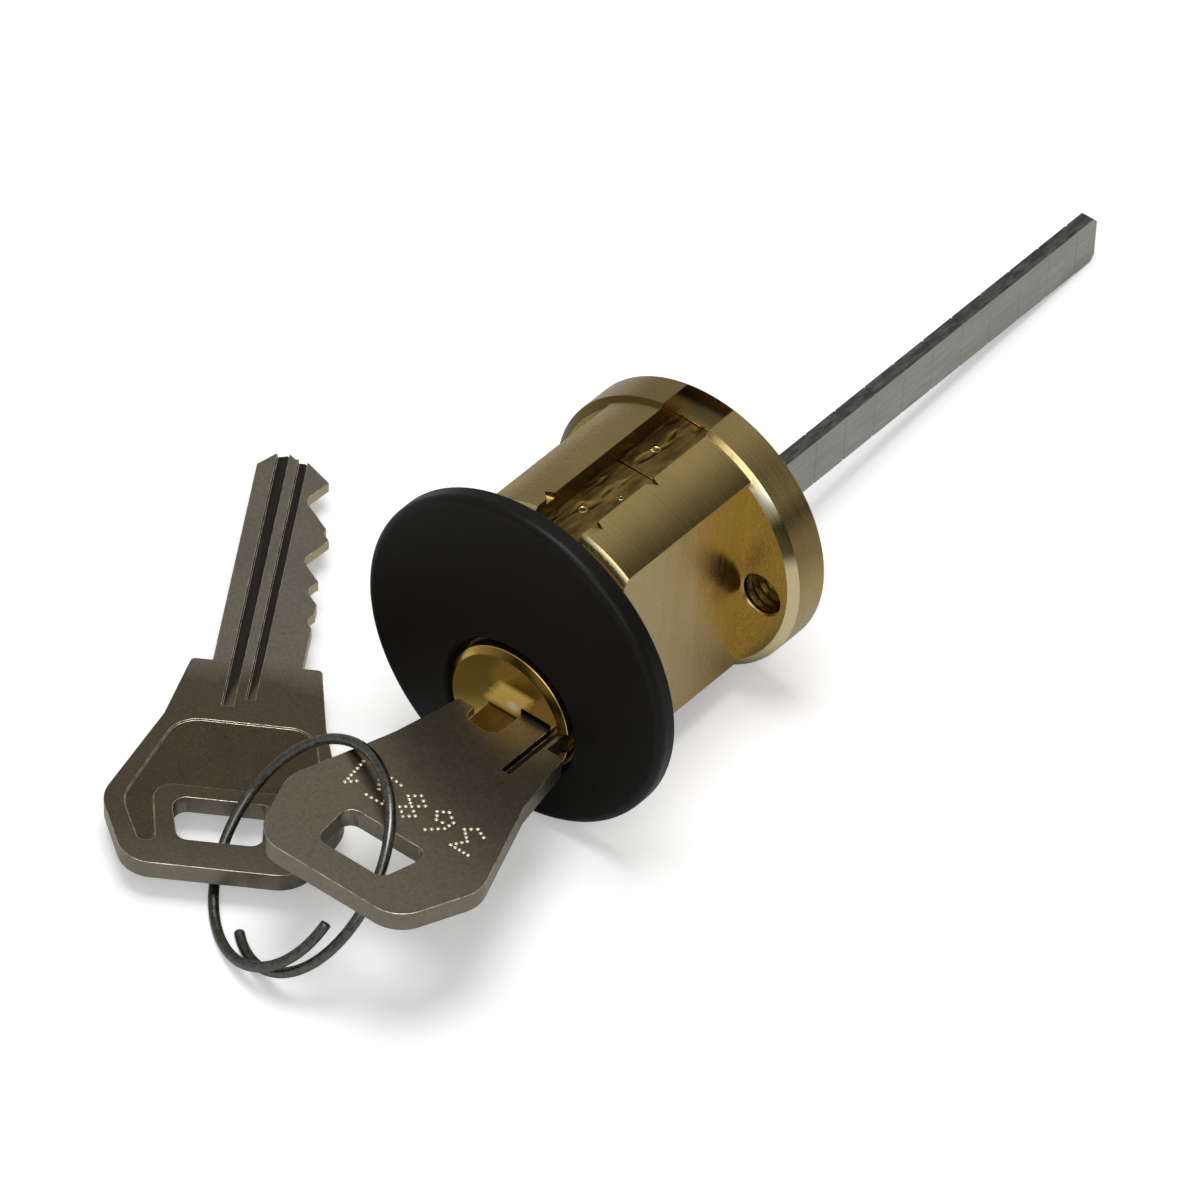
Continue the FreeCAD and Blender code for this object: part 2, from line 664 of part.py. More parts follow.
rivet = new_body("tail_rivet", z=-S.plug_drop)
rivet_half = S.boss_radius - S.rivet_short
sketch = new_sketch(rivet, "section", "YZ_Plane", -rivet_half)
draw_circle(sketch, rivet_place, 0, S.rivet_radius)
pad(rivet, "pin", sketch, rivet_half * 2)


# Pin stacks. The key pins stand on the key's cuts and point to -X with the plug. The driver
# pins wait on the plug's round surface under their springs.

for i in range(pin_number):
    place = S.pin_first + S.pin_pitch * i
    body = new_body("key_pin_%d" % (i + 1), y=place, z=-S.plug_drop)
    tip = S.key_back - roots[i] - S.pin_rest
    outer = -(S.plug_radius - S.pin_shear)
    sketch = new_sketch(body, "profile", "XY_Plane")
    draw_polygon(sketch, [
        (tip, 0),
        (tip, S.pin_tip),
        (tip - S.pin_cone, S.pin_radius),
        (outer + S.pin_break, S.pin_radius),
        (outer, S.pin_radius - S.pin_break),
        (outer, 0),
    ])
    revolve(body, "turned", sketch)

driver_low = -S.plug_drop + S.plug_radius + S.pin_rest
for i in range(pin_number):
    place = S.pin_first + S.pin_pitch * i
    body = new_body("driver_pin_%d" % (i + 1), y=place, z=driver_low)
    sketch = new_sketch(body, "profile", "XZ_Plane")
    draw_polygon(sketch, [
        (0, 0),
        (S.pin_radius - S.pin_break, 0),
        (S.pin_radius, S.pin_break),
        (S.pin_radius, S.driver_length - S.pin_break),
        (S.pin_radius - S.pin_break, S.driver_length),
        (0, S.driver_length),
    ])
    revolve(body, "turned", sketch, "V_Axis")


# Wound wire

def biarc(p0, t0, p1, t1):
    """Two arcs that join two points with the given unit tangents."""
    v = p1 - p0
    a = 2 - 2 * t0.dot(t1)
    b = 2 * v.dot(t0 + t1)
    c = -v.dot(v)
    if abs(a) < 1e-9:
        d = -c / b
    else:
        d = (-b + math.sqrt(b * b - 4 * a * c)) / (2 * a)
    q0 = p0 + t0 * d
    q1 = p1 - t1 * d
    middle = (q0 + q1) * 0.5
    return [arc_from(p0, t0, middle), arc_from(middle, (q1 - q0).normalize(), p1)]


def arc_from(start, tangent, end):
    """Arc that leaves the start along the tangent and reaches the end."""
    chord = end - start
    side = chord - tangent * chord.dot(tangent)
    if side.Length < 1e-9:
        return Part.LineSegment(start, end)
    normal = Vec(side).normalize()
    radius = chord.dot(chord) / (2 * chord.dot(normal))
    centre = start + normal * radius
    half_way = (start + end) * 0.5 - centre
    half_way.normalize()
    if (start + tangent * 1e-4 - centre).dot(half_way) < 0 and chord.dot(tangent) < 0:
        half_way = half_way * -1
    return Part.Arc(start, centre + half_way * radius, end)


def wire_along(path, turn_from, turn_to, steps):
    """Biarcs through a path given as a function of the angle."""
    small = 1e-5
    marks = [turn_from + (turn_to - turn_from) * i / steps for i in range(steps + 1)]
    points = [path(a) for a in marks]
    tangents = [(path(a + small) - path(a - small)).normalize() for a in marks]
    curves = []
    for i in range(steps):
        curves += biarc(points[i], tangents[i], points[i + 1], tangents[i + 1])
    return Part.Wire([c.toShape() for c in curves]), points[0], tangents[0]


def tube(path, turn_from, turn_to, steps, radius):
    spine, start, tangent = wire_along(path, turn_from, turn_to, steps)
    section = Part.Wire([Part.Circle(start, tangent, radius).toShape()])
    return spine.makePipeShell([section], True, False)


# Pin springs between the driver pins and the cover strips.
spring_low = (driver_low + S.driver_length + S.pin_rest).number
spring_high = (S.cover_level - S.cover_thick - S.pin_rest).number
wire = S.spring_wire.number
turns = S.spring_turns.number
rise = spring_high - spring_low - 2 * wire


def spring_path(angle):
    coil = S.spring_radius.number
    height = wire + rise * angle / (2 * math.pi * turns)
    return Vec(coil * math.cos(angle), coil * math.sin(angle), height)


spring_shape = tube(spring_path, 0, 2 * math.pi * turns, int(4 * turns), wire)
for i in range(pin_number):
    place = S.pin_first + S.pin_pitch * i
    spring = doc.addObject("Part::Feature", "pin_spring_%d" % (i + 1))
    spring.Label = spring.Name
    spring.Shape = spring_shape
    spring.Placement = FreeCAD.Placement(Vec(0, place.number, spring_low), FreeCAD.Rotation())


# Keys. A key is drawn with its shoulders on local y = 0, its tip toward +Y, its back edge on
# the +X side and its numbered face up.

def across(u):
    """Local x of a place u from the back edge toward the cuts."""
    return S.key_back - u


def build_key(label):
    body = new_body(label)
    thick = S.key_thick
    top = thick / 2
    front_edge = S.blade_width + S.bow_front
    ledge = S.tip_point + S.tip_nose
    wide = [
        (across(0), 0),
        (across(0), S.blade_length - S.tip_bevel),
        (across(S.tip_from), S.blade_length - S.tip_fall),
        (across(S.tip_point), S.blade_length),
        (across(ledge), S.blade_length - S.tip_ledge),
        (across(ledge + S.tip_wide), S.blade_length - S.tip_ledge),
        (across(S.blade_width), S.blade_length - S.tip_slope),
        (across(S.blade_width), 0),
        (across(front_edge), 0),
        (across(front_edge + S.flare_front), -S.bow_waist),
        (across(front_edge + S.wide_front), -S.bow_widest),
        (across(front_edge + S.end_front), -S.bow_length),
        (across(-S.bow_back - S.end_back), -S.bow_length),
        (across(-S.bow_back - S.wide_back), -S.bow_widest),
        (across(-S.bow_back - S.flare_back), -S.bow_waist),
        (across(-S.bow_back), 0),
    ]
    sketch = new_sketch(body, "outline", "XY_Plane", -top)
    draw_polygon(sketch, wide)
    blank = pad(body, "blank", sketch, thick)
    below = -S.bow_waist.number - OVER
    corners = edges_of(blank, lambda e: is_upright(e) and e.CenterOfMass.y < below)
    rounded = dress(body, "Fillet", "corners", blank, corners, S.bow_round)
    left = across(front_edge).number + OVER / 10
    right = across(-S.bow_back).number - OVER / 10
    outer = edges_of(rounded, lambda e: is_upright(e) and abs(e.CenterOfMass.y) < OVER / 10
                     and not left < e.CenterOfMass.x < right)
    dress(body, "Fillet", "shoulders", rounded, outer, S.bow_shoulder)

    # Hole for the ring.
    low_middle = S.hole_middle + S.hole_shift
    sketch = new_sketch(body, "hole", "XY_Plane", top + OVER)
    draw_polygon(sketch, [
        (across(S.hole_middle - S.hole_top_half), -S.bow_hole_top),
        (across(low_middle - S.hole_low_half), -S.bow_hole_low),
        (across(low_middle + S.hole_low_half), -S.bow_hole_low),
        (across(S.hole_middle + S.hole_top_half), -S.bow_hole_top),
    ])
    hole = pocket(body, "hole_cut", sketch, thick + 2 * OVER)
    centre = across(S.hole_middle).number
    reach = S.hole_top_half.number + 0.1
    low = -S.bow_hole_low.number - 0.1
    high = -S.bow_hole_top.number + 0.1
    inner = edges_of(hole, lambda e: is_upright(e) and low < e.CenterOfMass.y < high and
                     abs(e.CenterOfMass.x - centre) < reach)
    dress(body, "Fillet", "hole_corners", hole, inner, S.bow_hole_round)

    # Cuts: a flat root with a rising flank on each side.
    sketch = new_sketch(body, "cuts", "XY_Plane", top + OVER)
    for i in range(pin_number):
        middle = S.cut_first + S.pin_pitch * i
        rise = S.blade_width + OVER / 3 - roots[i]
        run = rise / S.cut_slope
        draw_polygon(sketch, [
            (across(roots[i]), middle - S.cut_flat),
            (across(roots[i]), middle + S.cut_flat),
            (across(roots[i] + rise), middle + S.cut_flat + run),
            (across(roots[i] + rise), middle - S.cut_flat - run),
        ])
    pocket(body, "cuts_cut", sketch, thick + 2 * OVER)

    # Grooves of the upper face: a narrow one near the back edge and a wide channel.
    sketch = new_sketch(body, "rib_groove", "XZ_Plane", S.rib_runout)
    middle = across(S.rib_place)
    draw_box(sketch, middle - S.rib_half, middle + S.rib_half, top - S.rib_depth, top + OVER)
    pocket(body, "rib_groove_cut", sketch, S.rib_runout + S.blade_length + OVER)
    sketch = new_sketch(body, "channel", "XZ_Plane", S.step_runout)
    draw_box(sketch, across(S.blade_width), across(S.step_place),
             top - S.step_depth, top + OVER)
    channel = pocket(body, "channel_cut", sketch, S.step_runout + S.blade_length + OVER)
    place = -S.step_runout.number
    ends = edges_of(channel, lambda e: is_upright(e) and abs(e.CenterOfMass.y - place) < 0.01)
    dress(body, "Fillet", "channel_end", channel, ends, S.step_round)

    # Two grooves and the recessed panel of the lower face.
    grooves = ((S.vee_one, S.half_one, S.runout_one), (S.vee_two, S.half_two, S.runout_two))
    for i, (place, groove_half, runout) in enumerate(grooves, start=1):
        middle = across(place)
        sketch = new_sketch(body, "lower_groove_%d" % i, "XZ_Plane", runout)
        draw_box(sketch, middle - groove_half, middle + groove_half,
                 -top - OVER, -top + S.vee_depth)
        pocket(body, "lower_cut_%d" % i, sketch, runout + S.blade_length + OVER)
    cheek_front = S.hole_middle + S.hole_top_half + S.hole_cheek
    cheek_back = S.hole_middle - S.hole_top_half - S.hole_cheek
    arm_front = low_middle + S.hole_low_half + S.hole_cheek
    arm_back = low_middle - S.hole_low_half - S.hole_cheek
    sketch = new_sketch(body, "panel", "XY_Plane", -top + S.panel_depth)
    draw_polygon(sketch, [
        (across(-S.bow_back - S.flare_back + S.panel_edge), -S.panel_top),
        (across(front_edge + S.flare_front - S.panel_rim), -S.panel_top),
        (across(front_edge + S.wide_front - S.panel_side), -S.bow_widest),
        (across(arm_front + S.panel_arm), -S.panel_low),
        (across(arm_front), -S.panel_low),
        (across(cheek_front), -S.bow_hole_top + S.hole_rim),
        (across(cheek_back), -S.bow_hole_top + S.hole_rim),
        (across(arm_back), -S.panel_low),
        (across(arm_back - S.panel_arm), -S.panel_low),
        (across(-S.bow_back - S.wide_back + S.panel_side), -S.bow_widest),
    ])
    made = pocket(body, "panel_cut", sketch, S.panel_depth + OVER)
    rows = (("top", S.panel_top, S.panel_round), ("side", S.bow_widest, S.panel_turn),
            ("bend", S.bow_hole_top - S.hole_rim, S.panel_bend),
            ("end", S.panel_low, S.panel_end))
    deep = S.panel_depth.number + 0.01
    for name, place, radius in rows:
        found = edges_of(made, lambda e: is_upright(e) and e.Length < deep and
                         abs(e.CenterOfMass.y + place.number) < 0.01)
        made = dress(body, "Fillet", "panel_" + name, made, found, radius)
    return body


key = build_key("key")
key.setExpression("Placement.Base.y", (-S.key_seat).text)
key.setExpression("Placement.Base.z", (-S.plug_drop).text)


def posed(prefix):
    """Placement of a loose piece, from the sheet."""
    values = [getattr(S, prefix + "_" + word).number
              for word in ("x", "y", "z", "yaw", "pitch", "roll")]
    return FreeCAD.Placement(Vec(*values[:3]), FreeCAD.Rotation(*values[3:]))


spare = build_key("spare_key")
for axis in ("x", "y", "z"):
    spare.setExpression("Placement.Base." + axis, None)
spare.Placement = posed("spare")


# Key ring: one turn of wire whose ends cross and curl inward.

half_turn = 180.0
lift = (S.ring_wire + S.ring_gap / 2).number
long_end = half_turn + S.ring_long.number
short_end = -half_turn - S.ring_short.number
curl_start = S.ring_curl_from.number


def ring_path(angle):
    degrees = math.degrees(angle)
    past = max(0.0, abs(degrees) - curl_start) / (long_end - curl_start)
    radius = S.ring_radius.number - S.ring_curl.number * past * past
    return Vec(radius * math.cos(angle), radius * math.sin(angle), lift * degrees / half_turn)


def least_gap(path, turn_from, turn_to, radius):
    """Least gap of a round wire to itself, over points more than half a turn apart."""
    count = 180
    marks = [turn_from + (turn_to - turn_from) * i / count for i in range(count + 1)]
    points = [path(a) for a in marks]
    apart = int(math.pi / ((turn_to - turn_from) / count))
    nearest = min((points[i] - points[k]).Length
                  for i in range(count + 1) for k in range(i + apart, count + 1))
    return nearest - 2 * radius


print("key ring's least gap to itself %.3f mm" % least_gap(
    ring_path, math.radians(short_end), math.radians(long_end), S.ring_wire.number))

ring = doc.addObject("Part::Feature", "key_ring")
ring.Label = ring.Name
ring.Shape = tube(ring_path, math.radians(short_end), math.radians(long_end), 16,
                  S.ring_wire.number)
ring.Placement = posed("ring")


# Check every object, then write one file for each sub-part.

doc.recompute()
for item in doc.Objects:
    if "Invalid" in item.State or "Error" in item.State:
        raise RuntimeError("%s failed: %s" % (item.Name, item.State))

pieces = [item for item in doc.Objects
          if item.TypeId == "PartDesign::Body"
          or (item.TypeId == "Part::Feature" and item.Label == item.Name
              and item.getParentGeoFeatureGroup() is None)]
os.makedirs("parts", exist_ok=True)
for piece in pieces:
    shape = piece.Shape
    if shape.isNull() or not shape.isValid() or not shape.Solids:
        raise RuntimeError("%s has no valid solid" % piece.Label)
    print("%-16s %9.3f mm3  %d solid(s)" % (piece.Label, shape.Volume, len(shape.Solids)))
    shape.exportStep("parts/%s.step" % piece.Label)
print(len(pieces), "sub-parts")
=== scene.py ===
"""Looks of a rim cylinder lock: its brass body and plug, black flange, tail bar, keys and ring.

Metres. The barrel's axis is Y, the keys are on the -Y side and +Z is up, as in the frame.
"""

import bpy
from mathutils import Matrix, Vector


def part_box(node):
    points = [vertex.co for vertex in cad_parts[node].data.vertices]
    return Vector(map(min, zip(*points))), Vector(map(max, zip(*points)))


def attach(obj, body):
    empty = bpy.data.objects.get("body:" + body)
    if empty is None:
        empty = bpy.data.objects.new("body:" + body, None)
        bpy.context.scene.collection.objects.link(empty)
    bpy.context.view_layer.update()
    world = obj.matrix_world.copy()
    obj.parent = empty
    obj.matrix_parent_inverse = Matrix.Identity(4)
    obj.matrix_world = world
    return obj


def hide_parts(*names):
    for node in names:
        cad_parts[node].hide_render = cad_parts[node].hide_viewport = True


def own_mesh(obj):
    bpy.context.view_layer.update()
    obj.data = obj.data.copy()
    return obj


bl_info = {
    "name": "Rim Cylinder Lock",
    "version": (1, 0, 0),
    "blender": (4, 5, 0),
    "location": "View3D > Sidebar > Cylinder Lock",
    "description": "Dresses a rim cylinder lock with its keys and its tail bar",
    "category": "Object",
}

import math

import bpy
from mathutils import Euler, Matrix, Vector

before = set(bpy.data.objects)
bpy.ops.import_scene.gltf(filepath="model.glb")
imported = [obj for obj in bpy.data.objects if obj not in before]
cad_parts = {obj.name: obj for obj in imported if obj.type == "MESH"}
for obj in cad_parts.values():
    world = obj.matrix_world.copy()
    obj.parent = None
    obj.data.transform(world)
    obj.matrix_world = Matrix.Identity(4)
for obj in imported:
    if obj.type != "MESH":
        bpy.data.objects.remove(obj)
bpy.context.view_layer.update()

MM = 0.001


# Places read from the frame

def edges_of_box(node):
    """Lowest and highest corner of a node of the frame."""
    low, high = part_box(node)
    return Vector(low), Vector(high)


BODY_REAR = edges_of_box("cylinder_body")[1].y
KEY_LOW, KEY_HIGH = edges_of_box("key")
PLUG_AXIS = Vector((0.0, 0.0, (KEY_LOW.z + KEY_HIGH.z) / 2))

PIN_COUNT = 5
DISC_FRONT = 21.0 * MM
TAP_OFFSET = 10.3 * MM
TAP_DROP = 1.1 * MM
TAP_CORE = 2.1 * MM

# The key's own frame: shoulders on y = 0, tip toward +Y, back edge on the +X side.
KEY_SHOULDER = -4.8 * MM
KEY_THICK = 2.0 * MM
# Width in millimetres of the keys' flat map.
KEY_MAP = 60.0
KEY_PLACE = Matrix.Translation((0.0, KEY_SHOULDER, PLUG_AXIS.z))
SPARE_SPOT = Vector((-24.12, -4.83, -14.59)) * MM
SPARE_TURN = Euler([math.radians(angle) for angle in (176.77, 2.27, -149.06)], "XYZ")
SPARE_PLACE = Matrix.Translation(SPARE_SPOT) @ SPARE_TURN.to_matrix().to_4x4()


# Sizes and colours that a user would change

class CylinderLockSizes(bpy.types.PropertyGroup):
    """Small sizes that only the looks have."""
    body_edge: bpy.props.FloatProperty(
        name="Body edge", description="Broken edge of the machined brass",
        default=0.10 * MM, min=0.0, unit="LENGTH")
    key_edge: bpy.props.FloatProperty(
        name="Key edge", description="Tumbled edge of the keys",
        default=0.13 * MM, min=0.0, unit="LENGTH")
    steel_edge: bpy.props.FloatProperty(
        name="Steel edge", description="Broken edge of the tail bar and the clip",
        default=0.10 * MM, min=0.0, unit="LENGTH")
    thread_pitch: bpy.props.FloatProperty(
        name="Thread pitch", description="Pitch of the thread in the tapped holes",
        default=0.8 * MM, min=0.2 * MM, unit="LENGTH")
    thread_height: bpy.props.FloatProperty(
        name="Thread height", description="Height of that thread's ridge",
        default=0.34 * MM, min=0.05 * MM, unit="LENGTH")
    dot_radius: bpy.props.FloatProperty(
        name="Dot radius", description="Radius of a punched dot of the key's number",
        default=0.185 * MM, min=0.05 * MM, unit="LENGTH")
    dot_depth: bpy.props.FloatProperty(
        name="Dot depth", description="Depth of a punched dot",
        default=0.15 * MM, min=0.02 * MM, unit="LENGTH")
    digit_height: bpy.props.FloatProperty(
        name="Digit height", description="Height of the key's punched digits",
        default=3.2 * MM, min=1.0 * MM, unit="LENGTH")
    key_number: bpy.props.StringProperty(
        name="Key number", description="Plain digits punched in the bow", default="36851")


class CylinderLockColours(bpy.types.PropertyGroup):
    """Base colours of the finishes."""
    brass: bpy.props.FloatVectorProperty(
        name="Brass", description="Machined brass of the body", subtype="COLOR",
        default=(0.52, 0.375, 0.145), min=0.0, max=1.0)
    plug_brass: bpy.props.FloatVectorProperty(
        name="Plug brass", description="Turned brass of the plug", subtype="COLOR",
        default=(0.95, 0.63, 0.14), min=0.0, max=1.0)
    strip: bpy.props.FloatVectorProperty(
        name="Cover strip", description="Dull brown brass of the cover strips", subtype="COLOR",
        default=(0.27, 0.175, 0.050), min=0.0, max=1.0)
    black: bpy.props.FloatVectorProperty(
        name="Flange black", description="Satin black of the flange", subtype="COLOR",
        default=(0.0065, 0.0058, 0.0048), min=0.0, max=1.0)
    nickel: bpy.props.FloatVectorProperty(
        name="Nickel silver", description="Tumbled nickel silver of the keys", subtype="COLOR",
        default=(0.31, 0.275, 0.215), min=0.0, max=1.0)
    steel: bpy.props.FloatVectorProperty(
        name="Tail steel", description="Dull zinc-plated steel of the tail bar",
        subtype="COLOR", default=(0.48, 0.49, 0.43), min=0.0, max=1.0)
    wire: bpy.props.FloatVectorProperty(
        name="Ring wire", description="Drawn steel wire of the key ring", subtype="COLOR",
        default=(0.17, 0.17, 0.155), min=0.0, max=1.0)
    floor: bpy.props.FloatVectorProperty(
        name="Floor", description="Pale floor under the lock", subtype="COLOR",
        default=(0.86, 0.86, 0.86), min=0.0, max=1.0)


# Shader maths as expressions

class Value:
    """A node's output. Arithmetic on it adds Math nodes to its tree."""

    def __init__(self, nodes, socket):
        self.nodes = nodes
        self.socket = socket

    def maths(self, operation, left, right=None):
        return self.nodes.node("ShaderNodeMath", {"operation": operation}, [left, right])

    def __add__(self, other):
        return self.maths("ADD", self, other)

    def __radd__(self, other):
        return self.maths("ADD", other, self)

    def __sub__(self, other):
        return self.maths("SUBTRACT", self, other)

    def __rsub__(self, other):
        return self.maths("SUBTRACT", other, self)

    def __mul__(self, other):
        return self.maths("MULTIPLY", self, other)

    def __rmul__(self, other):
        return self.maths("MULTIPLY", other, self)

    def __pow__(self, other):
        return self.maths("POWER", self, other)

    def __rpow__(self, other):
        return self.maths("POWER", other, self)

    def __abs__(self):
        return self.maths("ABSOLUTE", self)

    def __gt__(self, other):
        return self.maths("GREATER_THAN", self, other)

    def __lt__(self, other):
        return self.maths("LESS_THAN", self, other)


class Nodes:
    """A node tree in the making, with its shader at its end."""

    def __init__(self, owner, kind):
        owner.use_nodes = True
        self.tree = owner.node_tree
        self.shader = next(n for n in self.tree.nodes if n.type == kind)

    def node(self, kind, settings=None, values=(), output=0):
        """Adds a node, sets its settings and then its sockets, and gives one output."""
        made = self.tree.nodes.new(kind)
        for setting, value in (settings or {}).items():
            if setting == "stops":
                self.set_stops(made.color_ramp, value)
            else:
                setattr(made, setting, value)
        pairs = values.items() if isinstance(values, dict) else enumerate(values)
        for place, value in pairs:
            if isinstance(value, Value):
                self.tree.links.new(value.socket, made.inputs[place])
            elif value is not None:
                made.inputs[place].default_value = value
        return Value(self, made.outputs[output])

    def set_stops(self, ramp, stops):
        while len(ramp.elements) > 1:
            ramp.elements.remove(ramp.elements[-1])
        ramp.elements[0].position = stops[0][0]
        ramp.elements[0].color = (*stops[0][1], 1.0)
        for place, colour in stops[1:]:
            ramp.elements.new(place).color = (*colour, 1.0)

    def link(self, name, value):
        self.tree.links.new(value.socket, self.shader.inputs[name])

    def axes(self, vector):
        return [self.node("ShaderNodeSeparateXYZ", values=[vector], output=i) for i in range(3)]

    def spread(self, value, low, high, to_low=0.0, to_high=1.0):
        return self.node("ShaderNodeMapRange", {"clamp": True},
                         [value, low, high, to_low, to_high])

    def ramp(self, value, stops):
        return self.node("ShaderNodeValToRGB", {"stops": stops}, [value])


class Finish(Nodes):
    """A material in the making, with a Principled shader at its end."""

    def __init__(self, name, colour, metallic, roughness):
        self.material = bpy.data.materials.new(name)
        super().__init__(self.material, "BSDF_PRINCIPLED")
        self.material.diffuse_color = (*colour, 1.0)
        self.shader.inputs["Base Color"].default_value = (*colour, 1.0)
        self.shader.inputs["Metallic"].default_value = metallic
        self.shader.inputs["Roughness"].default_value = roughness

    def point(self):
        """Place on the piece, in millimetres."""
        place = self.node("ShaderNodeTexCoord", output="Object")
        return self.node("ShaderNodeVectorMath", {"operation": "SCALE"},
                         {0: place, "Scale": 1.0 / MM})

    def facing(self):
        """The surface's own direction as three values."""
        direction = self.node("ShaderNodeTexCoord", output="Normal")
        return self.axes(direction)

    def moved(self, point, place=(0, 0, 0), stretch=(1, 1, 1)):
        return self.node("ShaderNodeMapping", {"vector_type": "POINT"},
                         {"Vector": point, "Location": place, "Scale": stretch})

    def noise(self, point, stretch, detail=2.0, rough=0.5):
        """Noise with this many grains to a millimetre, the same or different along X, Y and Z."""
        if isinstance(stretch, float):
            stretch = (stretch,) * 3
        return self.node("ShaderNodeTexNoise", {"noise_dimensions": "3D"},
                         {"Vector": self.moved(point, stretch=stretch), "Scale": 1.0,
                          "Detail": detail, "Roughness": rough})

    def distance(self, point, place):
        return self.node("ShaderNodeVectorMath", {"operation": "DISTANCE"}, [point, place],
                         output=1)

    def mottled(self, value, low, high, colour, dark, bright):
        """A colour from its dark to its bright shade as the value goes from low to high."""
        return self.mix(self.spread(value, low, high), shade_of(colour, dark),
                        shade_of(colour, bright))

    def roughen(self, value, low, high):
        self.link("Roughness", self.spread(value, 0.3, 0.7, low, high))

    def mix(self, share, first, second):
        """Colour mix: first where the share is 0."""
        colours = [(*c, 1.0) if isinstance(c, tuple) and len(c) == 3 else c
                   for c in (first, second)]
        return self.node("ShaderNodeMix", {"data_type": "RGBA"},
                         {0: share, 6: colours[0], 7: colours[1]}, output=2)

    def choose(self, share, first, second):
        """Number mix: first where the share is 0."""
        return self.node("ShaderNodeMix", {"data_type": "FLOAT"},
                         {0: share, 2: first, 3: second})

    def bumps(self, height, distance, strength=1.0):
        normal = self.node("ShaderNodeBump", values={
            "Strength": strength, "Distance": distance, "Height": height})
        self.link("Normal", normal)


def shade_of(colour, share):
    """A colour made darker or lighter by one factor."""
    return tuple(min(1.0, part * share) for part in colour)


def tinted(colour, tint):
    """A colour with each part scaled by a factor of its own."""
    return tuple(min(1.0, part * share) for part, share in zip(colour, tint))


def greys(stops):
    """Grey colours for a ramp."""
    return [(place, (grey,) * 3) for place, grey in stops]


# Finishes

